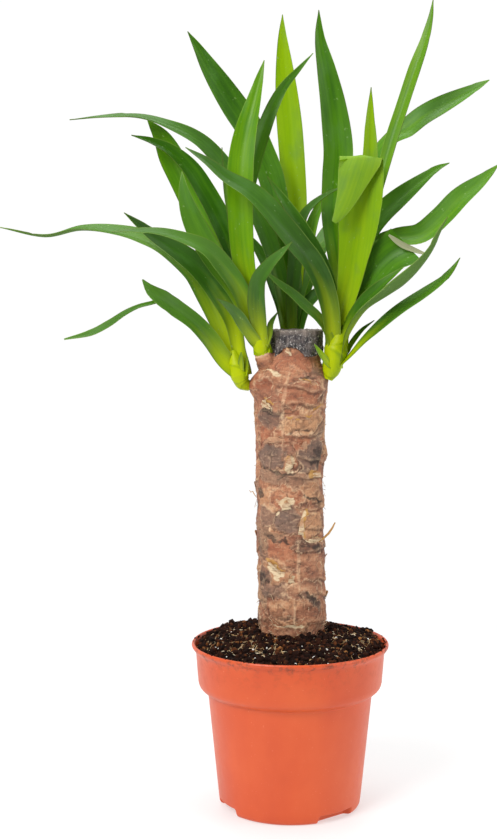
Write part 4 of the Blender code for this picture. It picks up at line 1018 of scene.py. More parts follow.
def make_bark_flakes(finish):
    """Papery flakes that have come loose: curled plates, each held along its lower edge, and dry fibres."""
    draw = random.Random(8)
    points, faces, cream, gold = [], [], [], []
    rows, columns = FLAKE_ROWS, FLAKE_COLUMNS
    flakes = FLAKES + tuple(
        (draw.uniform(-10, 190), draw.uniform(120, 258), draw.uniform(5, 11), draw.uniform(2.5, 5),
         draw.uniform(-0.8, 0.8), draw.uniform(0.8, 1.8), draw.choice((0, 0, 1)))
        for _ in range(LOOSE_FLAKES)
    )
    for angle, height, width, tall, lean, lift, pale in flakes:
        start = len(points)
        for layer in (0.0, FLAKE_THICK):
            for i in range(rows):
                up = i / (rows - 1)
                ragged = 1 + 0.35 * noise.noise(Vector((i * 0.9, angle, height)))
                for j in range(columns):
                    side = (2 * j / (columns - 1) - 1) * (1 - 0.75 * up ** 1.3) * ragged
                    turn = math.degrees(side * width / 2 / along(CANE_RADIUS, height))
                    torn = 0.4 * noise.noise(Vector((j * 1.3, i, angle)))
                    rise = up * tall + lean * side * width / 2 + torn
                    out = 0.25 + lift * up ** 1.6 + 0.25 * (1 - side * side) - layer
                    points.append(cane_point(angle + turn, height + rise, out))
                    cream.append(pale * (0.9 - 0.5 * up))
                    gold.append(0.55 * up if pale else 0.0)
        quads = grid_faces(rows, columns, closed=False)
        block = rows * columns
        faces += [tuple(start + n for n in quad) for quad in quads]
        faces += [tuple(start + block + n for n in quad[::-1]) for quad in quads]
        rim = list(range(columns)) + [r * columns + columns - 1 for r in range(1, rows)]
        rim += [(rows - 1) * columns + c for c in range(columns - 2, -1, -1)]
        rim += [r * columns for r in range(rows - 2, 0, -1)]
        for a, b in zip(rim, rim[1:] + rim[:1]):
            faces.append((start + b, start + a, start + block + a, start + block + b))
    for number in range(LOOSE_FIBRES):
        height = draw.uniform(106, 117) if number < LOOSE_FIBRES / 2 else draw.uniform(118, 262)
        angle, length = draw.uniform(0, 360), draw.uniform(2.5, 7.5)
        tip_turn, tip_rise = draw.uniform(-12, 12), draw.uniform(-0.8, 0.8) * length
        route = [
            cane_point(angle + tip_turn * t, height + tip_rise * t, 0.2 + 1.3 * t * t)
            for t in (0, 0.25, 0.5, 0.75, 1)
        ]
        radius, pale = draw.uniform(0.1, 0.16), draw.choice((0.2, 0.6, 0.9))
        lay_thread(points, faces, route, radius, [(cream, pale), (gold, 0.2)])
    for spots, radius in STUBS:
        route = [cane_point(*spot) for spot in spots]
        lay_thread(points, faces, route, radius, [(cream, 0.1), (gold, 0.75)])
    ridge = np.full(len(points), 0.35)
    flakes = piece("bark_flakes", points, faces, finish, ridge=ridge, gold=gold, cream=cream)
    set_in_frame(flakes, "bark")


def make_bark_collars(finish):
    """Ragged cups of bark round the foot of two of the shoots, where they broke through."""
    points, faces, ridge, crease = [], [], [], []
    sides, rows = COLLAR_SIDES, COLLAR_ROWS
    for name, (top_place, spare) in COLLARS.items():
        stem = [Vector(p) for p in SHOOTS[name]["stem"]]
        radii = SHOOTS[name]["radii"]
        last = len(stem) - 1
        first = len(points)
        for layer in (0, 1):
            for row in range(rows):
                share = row / (rows - 1)
                for k in range(sides):
                    angle = 360 * k / sides
                    ragged = 0.16 * noise.noise(polar(3.0, angle) + Vector((first, 0, 0)))
                    ragged += 0.1 * noise.noise(polar(9.0, angle) + Vector((first, 0, 0)))
                    place = (share if layer == 0 else 1 - share) * top_place * (1 + ragged)
                    place = min(max(place, 0.0), last)
                    turn = heading_at(stem, place).to_track_quat("Z", "Y")
                    fullness = 1 - min(1.0, place / top_place)
                    radius = between(radii, place / last) + 0.15
                    if layer == 0:
                        radius += 0.45 + spare * fullness ** 0.8
                    spot = smooth_point(stem, place) + turn @ polar(radius, angle)
                    rough = 0.5 * noise.noise(spot / 2.6) + 0.3 * noise.noise(spot / 1.2)
                    if layer == 0:
                        spot += (turn @ polar(1.0, angle)) * rough
                    points.append(spot)
                    # A pale top rim, partly painted highlight, and a darker inner face, painted shade
                    # inside the cup
                    rim = math.exp(-(fullness / 0.12) ** 2)
                    ridge.append(rim * 0.9 if layer == 0 else 0.2)
                    crease.append(0.0 if layer == 0 else 0.5)
        faces += tube_faces(rows * 2, sides, first)
    collars = piece("bark_collars", points, faces, finish, ridge=ridge, crease=crease)
    set_in_frame(collars, "bark")


# Wax


def wax_edge(angle):
    """The height of the wax's ragged lower edge, which runs down in lobes."""
    edge = WAX_EDGE
    for lobe_angle, lowest, half in WAX_LOBES:
        turn = angle_apart(angle, lobe_angle) / half
        edge = min(edge, WAX_EDGE - (WAX_EDGE - lowest) * math.exp(-turn ** 4))
    spot = polar(WAX_OUTER, angle)
    return edge + 0.9 * noise.noise(spot / 2.4) + 0.6 * noise.noise(spot / 1.1)


def make_wax(finish):
    """The wax over the cane's cut top: its lining, ragged skirt with runs and folds, and crumbling roof."""
    centre = Vector((CANE_LEAN[-1][1], 0, 0))
    angles = [360 * k / WAX_SIDES for k in range(WAX_SIDES)]
    roof = CANE_TOP + CLEAR
    edges = [wax_edge(a) for a in angles]
    points = [centre + polar(radius, a, roof) for radius in (1.0, WAX_INNER) for a in angles]
    points += [centre + polar(WAX_INNER, a, edge + 0.5) for a, edge in zip(angles, edges)]
    points += [centre + polar(WAX_INNER + 0.25, a, edge) for a, edge in zip(angles, edges)]
    crumble = [0.0] * len(points)
    for step in range(WAX_ROWS + 1):
        share = step / WAX_ROWS
        for angle, edge in zip(angles, edges):
            height = edge + 0.12 + (WAX_TOP - 0.7 - edge) * share
            spot = polar(WAX_OUTER, angle, height)
            run = noise.noise(polar(WAX_OUTER / 2.2, angle, height / 16))
            lump = 0.5 * run + 0.35 * noise.noise(spot / 1.8) + 0.2 * noise.noise(spot / 0.8)
            folds = math.exp(-(angle_apart(angle, WAX_FOLDS_AT) / WAX_FOLDS_HALF) ** 4)
            lump += 0.45 * folds * math.cos(math.radians(angle - WAX_FOLDS_AT) * WAX_FOLDS + 2 * run)
            bead = 0.35 * math.exp(-((height - edge - 0.9) / 0.9) ** 2)
            radius = WAX_OUTER - 0.45 + lump + bead - 0.25 * math.exp(-((height - edge) / 0.35) ** 2)
            points.append(centre + polar(max(radius, WAX_INNER + 0.3), angle, height))
            crumble.append(max(0.0, (share - 0.72) / 0.28) * 0.9 + 0.3 * max(0.0, noise.noise(spot / 4)))
    for reach in WAX_ROOF:
        for angle in angles:
            spot = centre + polar(reach, angle, WAX_TOP)
            rise = 0.5 * noise.noise(spot / 2.0) + 0.35 * noise.noise(spot / 0.9)
            spot.z += rise - 0.75 * min(1.0, (16 - reach) / 4)
            points.append(spot)
            crumble.append(0.75 if reach > 12 else 0.35)
    faces = tube_faces(len(points) // WAX_SIDES, WAX_SIDES)
    wax = piece("wax_cap", points, faces, finish, crumble=crumble)
    set_in_frame(wax, "wax", "wax_seal")


# Leaves


def smooth_point(points, place):
    """A point of the smooth curve through the points, at a place counted in points."""
    last = len(points) - 1
    i = min(int(place), last - 1)
    t = place - i
    p1, p2 = points[i], points[i + 1]
    p0 = points[i - 1] if i > 0 else p1 * 2 - p2
    p3 = points[i + 2] if i + 2 <= last else p2 * 2 - p1
    bend = (p0 * 2 - p1 * 5 + p2 * 4 - p3) * t * t + (p1 * 3 - p0 - p2 * 3 + p3) * t * t * t
    return (p1 * 2 + (p2 - p0) * t + bend) * 0.5


def heading_at(points, place, reach=TANGENT_REACH):
    """Which way that curve runs at a place."""
    last = len(points) - 1
    return smooth_point(points, min(place + reach, last)) - smooth_point(points, max(place - reach, 0))


def places_of(points, step):
    """Places along the curve, counted in points, that lie one step apart, with the length run at each."""
    count = (len(points) - 1) * CURVE_FINENESS
    places = np.arange(count + 1) / CURVE_FINENESS
    spots = [smooth_point(points, place) for place in places]
    lengths = np.concatenate([[0.0], np.cumsum([(b - a).length for a, b in zip(spots, spots[1:])])])
    pieces = max(8, round(lengths[-1] / step))
    targets = np.linspace(0, lengths[-1], pieces + 1)
    return [(float(place), float(run)) for place, run in zip(np.interp(targets, lengths, places), targets)]


def between(values, share):
    """A value of a list that is spread evenly from 0 to 1."""
    place = share * (len(values) - 1)
    i = min(int(place), len(values) - 2)
    return values[i] + (values[i + 1] - values[i]) * (place - i)


def blade_width(share, belly):
    """The width of a leaf at a share of its length, as a share of its widest: neck, belly, long point."""
    if share < belly:
        return NECK + (1 - NECK) * math.sin(0.5 * math.pi * share / belly) ** 1.3
    return math.cos(0.5 * math.pi * min(1.0, (share - belly) / (1 - belly))) ** 0.85


def leaf(
    points, width, faces, belly=0.55, widths=None, skews=None, fold=None, rooted=True, dry=False, tone=0.0,
    painted_sheen=0.0,
):
    """One leaf: its midrib from base to tip, widest width, which way its upper side looks, and its colour.

    Its sections may slant by skews, it may have the place of a fold, and a torn part has no root."""
    return {
        "points": points, "width": width, "faces": faces, "belly": belly, "widths": widths, "skews": skews,
        "fold": fold, "rooted": rooted, "dry": dry, "tone": tone, "painted_sheen": painted_sheen,
    }


def grow_leaf(build, row, start, number, shaded_lime_share):
    """Adds one blade: a thin channelled strip with an upper side, an underside and narrow margins."""
    points = [start] * row["rooted"] + [Vector(p) for p in row["points"]]
    upper_sides = [Vector(f) for f in row["faces"]]
    last = len(points) - 1
    step = LEAF_STEP * (0.4 if row["fold"] else 1.0)
    stations = places_of(points, step)
    length = stations[-1][1]
    first = len(build["points"])
    phase = number * 1.7
    widest = row["width"]
    outer = row["rooted"] * (1 if (points[1] - start).dot(upper_sides[0]) > 0 else -1)
    ring = LEAF_ACROSS + 1
    for place, run in stations:
        share = run / length
        middle = smooth_point(points, place)
        direction = heading_at(points, place, min(TANGENT_REACH, last / 8)).normalized()
        upper = between(upper_sides, place / last)
        upper = (upper - direction * upper.dot(direction)).normalized()
        side = direction.cross(upper)
        if row["widths"]:
            width = between(row["widths"], place / last)
        else:
            width = widest * blade_width(share, row["belly"])
        clasp = math.exp(-(run / CLASP_LENGTH) ** 2) * abs(outer) * min(1.0, widest / 12)
        width = max(width + CLASP_WIDTH * clasp, LEAF_TIP)
        opened = min(1.0, share / LEAF_ROOT_SHARE)
        thick = LEAF_THICK_ROOT + (LEAF_THICK - LEAF_THICK_ROOT) * opened
        channel = CHANNEL_ROOT + (CHANNEL - CHANNEL_ROOT) * opened
        wave = 0.5 * math.sin(9 * share + widest) if width > 6 else 0.0
        fine_wave = 0.22 * math.sin(run / 7.5 + phase) * min(1.0, width / 10)
        # Lime at the base, less where a shoot's lime share is under 1: painted shade
        lime = row["rooted"] * shaded_lime_share * math.exp(-(run / (0.2 * length + 12)) ** 1.6)
        skew = between(row["skews"], place / last) if row["skews"] else 0.0
        past_fold = min(1.0, max(0.0, (place - row["fold"]) / 0.3)) if row["fold"] else 0.0
        channel *= 1 - 0.7 * past_fold
        channel += (-CLASP_BEND * outer - channel) * clasp
        dry = float(row["dry"])
        for is_upper in (1, 0):
            for k in range(ring):
                u = 2 * k / LEAF_ACROSS - 1
                u = u if is_upper else -u
                spread = math.copysign(abs(u) ** 0.9, u)
                lift = width * channel * abs(spread) ** 1.5 - width * channel * 0.12
                lift += (-u * wave + fine_wave * u) * abs(u)
                groove = 0.16 * math.exp(-(u / 0.13) ** 2) * min(1.0, width / 8)
                body = LEAF_EDGE_THICK + (thick - LEAF_EDGE_THICK) * (1 - abs(u) ** 2.2)
                lift += (body / 2 - groove) if is_upper else -(body / 2 + groove * 0.6)
                across = side + direction * skew
                build["points"].append(middle + across * (spread * width / 2) + upper * lift)
                build["blade"].append((spread * width / 2, run, number * 41.0))
                build["margin"].append((1 - abs(spread)) * width / 2)
                build["upper"].append(float(is_upper))
                brighter = 0.25 * (1 - abs(u)) * max(0.0, 0.6 - share)
                build["tone"].append(row["tone"] + brighter - 0.1 * share)
                # Painted sheen: the grey coat, weaker near the base
                build["painted_sheen"].append(min(1.0, row["painted_sheen"] * min(1.0, 0.3 + 1.3 * share)))
                build["lime"].append(lime * (1.0 - 0.5 * abs(u) ** 1.5))
                build["dry"].append(dry)
    build["faces"] += tube_faces(len(stations), ring * 2, first)


def sheath_gap(angle, share):
    """How far a spot of the stem lies above the nearest sheath's slanting edge, as a share of the stem."""
    edges = [(n + 0.8) / 4 + 0.1 * math.cos(math.radians(angle - n * GOLDEN_ANGLE)) for n in range(3)]
    return min((share - edge for edge in edges), key=abs)


def grow_stem(build, points, radii):
    """Adds the short stem that a shoot's leaves clasp, wrapped in the sheaths of its lowest leaves."""
    points = [Vector(p) for p in points]
    last = len(points) - 1
    first = len(build["points"])
    sides, steps = STEM_SIDES, STEM_STEPS * last
    for step in range(steps + 1):
        place = last * step / steps
        middle = smooth_point(points, place)
        turn = heading_at(points, place).to_track_quat("Z", "Y")
        radius = between(radii, place / last)
        for k in range(sides):
            angle = 360 * k / sides
            above = sheath_gap(angle, step / steps)
            fold = 1 + 0.05 * (math.exp(-above / 0.12) if above > 0 else math.exp(-(above / 0.03) ** 2))
            # Painted shade: a dark, less lime line just under each sheath's edge, where the sheath above
            # shades the stem
            shade = 0.6 * math.exp(-((above + 0.035) / 0.03) ** 2)
            build["points"].append(middle + turn @ polar(radius * fold, angle))
            build["blade"].append((math.radians(angle) * radius, step * 3.0, 900.0))
            build["margin"].append(3.0)
            build["upper"].append(1.0)
            build["tone"].append(0.25 - 0.7 * shade)
            build["painted_sheen"].append(0.0)
            build["lime"].append(0.75 - 0.35 * shade - 0.15 * math.sin(math.radians(angle * 2)))
            build["dry"].append(0.0)
    build["faces"] += tube_faces(steps + 1, sides, first)


def make_shoot(name, shoot, finish):
    """One shoot: its stem, and its leaves, each rooted a golden angle on from the last."""
    labels = ("blade", "margin", "upper", "tone", "painted_sheen", "lime", "dry")
    build = {label: [] for label in ("points", "faces") + labels}
    grow_stem(build, shoot["stem"], shoot["radii"])
    for number, row in enumerate(shoot["leaves"]):
        start = Vector(shoot["root"]) + polar(ROOT_OFFSET, number * GOLDEN_ANGLE, 0)
        grow_leaf(build, row, start, number, shoot.get("lime", 1.0))
    marks = {label: build[label] for label in labels}
    made = piece(name + "_leaves", build["points"], build["faces"], finish, **marks)
    made.data.set_sharp_from_angle(angle=math.radians(55))
    set_in_frame(made, "leaf", name)


# A leaf's tone is its own green, and painted light and shade too: darker where it lies in shadow, brighter
# where light comes through it
SHOOTS = {
    "shoot_left_low": {
        "stem": ((-25, -3, 259), (-29.2, -5, 261.5), (-31, -6, 266.5), (-33, -6.5, 273), (-35, -7, 281)),
        "radii": (3, 4.4, 5.6, 4.8, 2),
        "root": (-29, -6, 266),
        "leaves": (
            # Lowest leaf
            leaf(
                ((-38.5, -9, 274), (-47.7, -13, 286.7), (-57.6, -19, 297.5), (-69.3, -25, 306.2),
                 (-76.1, -29, 311.5), (-82.4, -31, 316.7), (-87.3, -32, 323.1)),
                14, ((-0.6, -0.5, 0.6), (-0.3, -0.8, 0.6), (-0.2, -0.8, 0.6), (-0.3, -0.8, 0.5)),
                widths=(9, 10, 10.5, 11, 12.5, 11.5, 7, 0.8), tone=-0.05, painted_sheen=0.35,
            ),
            # Its split half, hanging from the kink
            leaf(
                ((-77.8, -30, 310.3), (-83, -31, 308.9), (-89.9, -33, 307.1), (-97.9, -35, 303.1),
                 (-106.7, -38, 297.1), (-117.2, -40, 291.9), (-132, -42, 288.6)),
                5, ((-0.3, -0.8, 0.5), (-0.3, -0.8, 0.5)),
                widths=(2.6, 2.8, 3, 4, 5, 4.4, 1), rooted=False, tone=-0.1, painted_sheen=0.4,
            ),
            # Longest leaf, reaching far to the left
            leaf(
                ((-36, -4, 280), (-42, -2, 296), (-48.8, 0, 311), (-58, 3, 326), (-73.5, 6, 339.8),
                 (-89, 8, 347.5), (-106, 10, 351.7), (-128, 11, 353.5), (-150, 12, 349.5), (-177, 12, 355)),
                16.2,
                ((-0.6, -0.6, 0.5), (-0.4, -0.8, 0.4), (-0.2, -0.6, 0.8), (0, -0.6, 0.8), (0, -0.2, 1),
                 (0, 0.3, 1)),
                belly=0.5, tone=0.05, painted_sheen=0.45,
            ),
            # Dark leaf above it
            leaf(
                ((-31, -9, 281), (-34, -10, 298), (-42, -10, 313), (-54, -9, 329), (-68, -8, 340),
                 (-82, -7, 349), (-91, -6, 356), (-100, -5, 363)),
                13, ((-0.5, -0.7, 0.4), (-0.3, -0.8, 0.5), (-0.3, -0.7, 0.6)), tone=-0.6, painted_sheen=0.1,
            ),
            # Small bract
            leaf(
                ((-27, -10, 266), (-26, -11, 277)),
                4, ((-0.8, -0.5, 0.3), (-0.6, -0.7, 0.3)), tone=-0.6, painted_sheen=0.3,
            ),
            # Smaller bract
            leaf(
                ((-30, -11, 270), (-30, -12, 280)),
                3.5, ((-0.3, -0.9, 0.3), (-0.3, -0.9, 0.3)), tone=-0.5, painted_sheen=0.3,
            ),
            # Back leaf, arching away
            leaf(
                ((-38, 20, 290), (-48, 50, 318), (-55, 80, 330), (-58, 105, 322)),
                14, ((-0.5, 0.3, 0.8), (0.2, -0.4, 0.9), (0.2, 0.2, 0.9)), painted_sheen=0.1,
            ),
            # Back leaf, rising
            leaf(
                ((-34, 18, 292), (-42, 40, 325), (-50, 62, 350), (-58, 80, 362)),
                12, ((0.3, -0.6, 0.7), (0.4, -0.6, 0.7)), tone=0.1, painted_sheen=0.1,
            ),
        ),
    },
    "shoot_left_high": {
        "stem": ((-14, -8, 272), (-17.3, -11, 278.5), (-18.6, -12, 283.5), (-19.6, -13, 289),
                 (-21, -13, 296)),
        "radii": (4, 3.8, 4.2, 3.6, 2),
        "root": (-16.5, -10.5, 278),
        "leaves": (
            # Tall upright leaf in front
            leaf(
                ((-18, -13, 285), (-21, -17, 302), (-25.6, -21, 320), (-28.5, -23, 337), (-30, -24, 360),
                 (-30, -24, 383), (-29, -23, 397), (-26.5, -22, 411), (-22, -20, 428.5),
                 (-16.4, -17, 450.7)),
                15.5, ((-0.2, -1, 0.1), (-0.2, -1, 0.1)), belly=0.6, tone=0.3,
            ),
            # Leaf behind it, leaning right
            leaf(
                ((-18, -10, 288), (-22, -9, 311), (-26, -10, 331), (-27.7, -11, 355), (-26.5, -12, 376),
                 (-22, -11, 394.6), (-17, -10, 411), (-11.5, -9, 425), (-5, -8, 436.5), (4, -7, 447),
                 (12.6, -6, 456.5)),
                9.5, ((0.3, -0.9, 0.2), (0.4, -0.8, 0.3)), belly=0.6, painted_sheen=0.1,
            ),
            # Short curved leaf over the wax
            leaf(
                ((-18.4, -17, 290), (-19.5, -20, 298), (-20.6, -27, 311), (-19, -35, 322.7),
                 (-13, -43, 331.7), (-7, -49, 338), (-1, -54, 344)),
                11, ((-0.1, -0.9, 0.4), (-0.2, -0.9, 0.4), (0.3, -0.8, 0.5)),
                belly=0.5, tone=-0.25, painted_sheen=0.4,
            ),
            # Grey-green leaf, arching left
            leaf(
                ((-19.5, -14, 287), (-24.4, -19, 301.6), (-30, -25, 315.7), (-38.7, -30, 328.4),
                 (-49.7, -35, 340), (-65.3, -39, 346.7), (-79, -42, 350), (-94, -44, 350.5),
                 (-104, -45, 350)),
                12, ((-0.3, -0.8, 0.4), (-0.2, -0.7, 0.7), (-0.1, -0.5, 0.9)),
                belly=0.5, tone=-0.1, painted_sheen=0.5,
            ),
            # Small low leaf
            leaf(
                ((-20, -15, 285), (-26, -20, 293), (-31.7, -25, 301.7), (-37.6, -29, 307.6),
                 (-44, -32, 312)),
                7.5, ((-0.4, -0.8, 0.4), (-0.2, -0.9, 0.4)), tone=-0.2, painted_sheen=0.7,
            ),
            # Broad glossy leaf
            leaf(
                ((-19.3, -11, 287), (-26, -13, 305), (-34.2, -16, 320), (-43.6, -19, 333.2),
                 (-53, -21, 348.4), (-59.6, -22, 362.4), (-63.2, -22, 375), (-64.5, -21, 386)),
                14, ((-0.4, -0.85, 0.3), (-0.4, -0.85, 0.4)), belly=0.65, painted_sheen=0.25,
            ),
            # Long dark leaf
            leaf(
                ((-18.6, -7, 288), (-24, -4, 309), (-30, -2, 327.6), (-36.8, -1, 345.6), (-44, 1, 361.2),
                 (-52.6, 3, 376.8), (-61.2, 4, 390), (-72.2, 5, 400.2), (-83.7, 5, 406), (-96, 4, 409.6)),
                14, ((0.2, -0.9, 0.3), (0.3, -0.8, 0.5)), belly=0.6, tone=-0.5,
            ),
            # Pale leaf behind it
            leaf(
                ((-18.6, -5, 289), (-27, 2, 311), (-36.8, 6, 331.3), (-47.3, 10, 349.5), (-57.2, 13, 366.5),
                 (-65.1, 15, 383.2), (-72, 16, 397.2), (-78.3, 16, 409.4), (-87, 15, 420)),
                16, ((-0.2, -0.9, 0.3), (-0.3, -0.9, 0.3)), belly=0.8, tone=0.15,
            ),
            # Narrow leaf, edge on
            leaf(
                ((-19.2, -8, 289), (-24, 1, 317), (-32.5, 2, 344), (-38, 2, 367.8), (-40.5, 1, 385.5),
                 (-41.5, 0, 402)),
                5, ((0.3, -0.9, 0.2), (0.6, -0.6, 0.2)), tone=0.2, painted_sheen=0.2,
            ),
            # Small bract over the wax
            leaf(
                ((-13.5, -16, 290), (-12.5, -18, 297), (-8.3, -19, 304)),
                4, ((-0.1, -0.9, 0.4), (0.2, -0.8, 0.5)), tone=-0.4, painted_sheen=0.2,
            ),
            # Small bract on the left
            leaf(
                ((-22, -13, 284), (-28, -15, 290)),
                3, ((-0.3, -0.8, 0.5), (-0.3, -0.8, 0.5)), tone=-0.4, painted_sheen=0.4,
            ),
        ),
    },
    "shoot_back": {
        # Less lime at its leaf bases: painted shade, as this shoot stands in the shade at the back
        "lime": 0.35,
        "stem": ((1, 13, 260), (1, 21, 268), (1, 25, 281), (1, 26, 297)),
        "radii": (5, 5, 5, 2.6),
        "root": (1, 24, 278),
        "leaves": (
            # Long leaf, arching left
            leaf(
                ((-1, 24, 290), (-4.5, 23, 315), (-9, 21, 334), (-14, 20, 348.6), (-20.8, 18, 364.4),
                 (-29, 16, 377), (-37.6, 13, 387), (-45.5, 11, 397), (-53.4, 9, 404.8), (-62.5, 7, 410.5),
                 (-74.7, 6, 415.6), (-86.2, 5, 419.4), (-97.7, 4, 420.8), (-115.8, 2, 420),
                 (-132.5, 0, 418.3)),
                12.5, ((0, -1, 0.2), (0.2, -0.9, 0.4), (0.2, -0.7, 0.7), (0, -0.3, 0.9)),
                belly=0.5, tone=-0.3, painted_sheen=0.3,
            ),
            # Broad leaf, leaning left
            leaf(
                ((0, 27, 291), (-3, 30, 322), (-5.5, 32, 346.6), (-8, 34, 369), (-12, 34, 387.5),
                 (-18, 34, 402.2), (-25.2, 33, 416.5), (-34.6, 32, 430), (-42.7, 30, 442),
                 (-50.8, 28, 454.5), (-57.3, 26, 465.5), (-62.8, 24, 474.2)),
                17, ((0, -1, 0.1), (0.2, -1, 0.1)), belly=0.7, tone=-0.15, painted_sheen=0.1,
            ),
            # Tall bright leaf: its bright tone is partly painted light that comes through it
            leaf(
                ((1, 28, 291), (2.5, 34, 320), (3.5, 39, 345), (3.6, 42, 370), (2, 43, 395),
                 (0.3, 43, 416.5), (-1.8, 42, 438), (-3.6, 40, 459), (-4.6, 38, 474), (-4.6, 36, 486.5)),
                16, ((0, -1, 0), (0, -1, 0)), belly=0.65, tone=1.0,
            ),
            # Narrow leaf, edge on
            leaf(
                ((-2, 25, 291), (-5, 26, 306), (-9.5, 27, 318.7), (-15, 28, 333.4), (-22.3, 29, 345.7),
                 (-30.8, 31, 355)),
                9, ((0.3, -0.9, 0.3), (0.3, -0.9, 0.4)), tone=-0.4, painted_sheen=0.2,
            ),
            # Low leaf to the right
            leaf(
                ((4, 24, 290), (8.8, 25, 304), (15.2, 27, 312), (23.5, 30, 319.4), (33, 34, 328)),
                12, ((-0.5, -0.6, 0.6), (-0.4, -0.6, 0.7)), tone=-0.4, painted_sheen=0.3,
            ),
            # Leaf to the right above it
            leaf(
                ((2.6, 25, 291), (6.5, 30, 314), (13, 34, 332.3), (21.5, 38, 344.9), (32.4, 41, 354.4)),
                9, ((-0.3, -0.8, 0.5), (-0.5, -0.5, 0.7)), painted_sheen=0.5,
            ),
            # Rising leaf to the right
            leaf(
                ((3.3, 27, 293), (7.4, 36, 320), (11.6, 43, 345), (16.1, 47, 362.2), (22.7, 50, 376),
                 (28.4, 51, 387.4)),
                9, ((-0.3, -0.9, 0.2), (-0.3, -0.9, 0.3)), tone=0.1, painted_sheen=0.1,
            ),
            # Leaf arching to the front and right
            leaf(
                ((1.4, 23, 291), (1.3, 20, 309.6), (2.4, 14, 325.9), (3.5, 8, 341), (5, 1, 354),
                 (9.7, -5, 363.8), (16, -10, 370), (23.6, -14, 374.8), (31.2, -17, 377.8)),
                9, ((0, -1, 0.2), (-0.2, -0.8, 0.5), (-0.4, -0.6, 0.7)), tone=-0.5, painted_sheen=0.35,
            ),
            # Back leaf, straight behind
            leaf(
                ((2, 45, 325), (3, 75, 360), (2, 110, 378), (0, 140, 375)),
                14, ((0, -0.7, 0.7), (0, -0.2, 1)), tone=0.1, painted_sheen=0.1,
            ),
            # Back leaf, to the left
            leaf(
                ((-3, 45, 330), (-8, 75, 370), (-20, 105, 396), (-34, 130, 403)),
                13, ((0.2, -0.6, 0.7), (0.2, -0.1, 1)), painted_sheen=0.1,
            ),
            # Back leaf, to the right
            leaf(
                ((10, 42, 318), (24, 70, 349), (37, 95, 365), (49, 118, 368)),
                13, ((-0.2, -0.6, 0.7), (-0.2, -0.2, 1)), tone=0.1, painted_sheen=0.1,
            ),
        ),
    },
    "shoot_right": {
        "stem": ((22.2, -8, 263.4), (24.1, -8, 269.1), (26.9, -8, 280.5), (28.9, -8, 287.7),
                 (30.1, -8, 299.1)),
        "radii": (2.6, 5.2, 7.2, 5.6, 2),
        "root": (24, -7.5, 270),
        "leaves": (
            # Widest leaf, its end folded over to the front
            leaf(
                ((25.5, -8.5, 286), (29.7, -13, 302), (33.2, -18, 318), (35.6, -22, 335), (38, -25, 352.4),
                 (39.4, -27, 368.5), (39.9, -28, 380.6), (39.6, -28.5, 391.5), (39.5, -30.2, 394.2),
                 (38.5, -32, 391.5), (35.6, -33.5, 383), (31.6, -34.5, 371), (27, -35, 361),
                 (23.7, -35, 356)),
                26,
                ((-0.3, -0.9, 0.1), (-0.2, -1, 0.1), (-0.1, -1, 0), (0, -1, 0), (0, -1, 0), (0, -1, 0),
                 (0, -1, 0), (0, -1, 0), (0, -0.8, -0.6), (0, 0, -1), (0, 0.8, -0.6), (0, 1, 0), (0, 1, 0),
                 (0, 1, 0), (0, 1, 0)),
                widths=(10, 9.5, 10, 13, 17.5, 22.5, 25, 25.5, 25.5, 25.5, 24.5, 19.5, 12.5, 7, 3), fold=9,
                tone=0.8,
            ),
            # Tall leaf behind it
            leaf(
                ((28.5, -4, 288), (31, 0, 306), (31, 2, 324), (28.6, 4, 342.1), (26.5, 5, 362),
                 (27.1, 6, 384.1), (27.9, 6, 402.1), (24.8, 5, 426.9), (20.7, 4, 448), (16.8, 3, 466.7),
                 (16.2, 2, 483)),
                18, ((0.1, -1, 0), (0.2, -1, 0)), belly=0.6, tone=0.0, painted_sheen=0.05,
            ),
            # Narrow bright leaf
            leaf(
                ((28, -5, 287), (33.7, -6, 311), (39.6, -8, 340.6), (44, -10, 370), (46, -11, 396.4),
                 (46, -11, 416.8), (46.6, -11, 436)),
                9.5, ((0.2, -1, 0), (0.2, -1, 0)), belly=0.68, tone=0.95,
            ),
            # Long thin leaf
            leaf(
                ((29, -6, 289), (36.4, -10, 318), (43.4, -13, 346.4), (48.6, -15, 367), (53.7, -15, 386),
                 (58.9, -14, 404.8), (65, -13, 423.5), (71.9, -12, 444.5), (78, -11, 462),
                 (81.5, -10, 476), (82.8, -10, 487)),
                8.2, ((-0.4, -0.8, 0.2), (-0.5, -0.7, 0.2)), belly=0.8, tone=0.45, painted_sheen=0.15,
            ),
            # Twisted leaf, highest on the right
            leaf(
                ((29, -2, 288), (33, 2, 314), (37, 6, 341), (42, 9, 365), (48.3, 11, 386),
                 (55.2, 12, 400.8), (62.6, 12, 408), (70.6, 12, 413.4), (80.3, 11, 421), (91.8, 10, 427.5),
                 (105.5, 8, 434.8), (118.8, 5, 442.4)),
                15,
                ((0, -1, 0.1), (-0.2, -0.9, 0.3), (-0.2, -0.6, 0.7), (-0.3, -0.3, 0.9), (-0.4, -0.8, 0.5),
                 (-0.4, -0.8, 0.5), (-0.4, -0.8, 0.4)),
                belly=0.82, tone=0.05, painted_sheen=0.15,
            ),
            # Broad leaf on the right
            leaf(
                ((29, -4, 289), (34.5, -4, 314), (40, -3, 334.8), (45.5, -2, 349), (53.4, -1, 360),
                 (62.6, 0, 369), (76, 2, 380.3), (87.5, 4, 389.3), (95.4, 5, 393.2)),
                15.5, ((-0.2, -0.9, 0.2), (-0.4, -0.8, 0.5), (-0.4, -0.8, 0.5)),
                belly=0.66, tone=-0.05, painted_sheen=0.1,
            ),
            # Long leaf at the far right
            leaf(
                ((30, -6, 288), (35.3, -9, 311), (42.4, -11, 331), (51.9, -11, 343), (63.4, -10, 347),
                 (77.5, -8, 349.5), (90.3, -6, 360), (101.4, -4, 371.6), (114.4, -2, 382.4),
                 (124.4, 0, 392)),
                16, ((-0.2, -0.9, 0.3), (-0.4, -0.5, 0.8), (-0.4, -0.8, 0.5), (-0.5, -0.8, 0.4)),
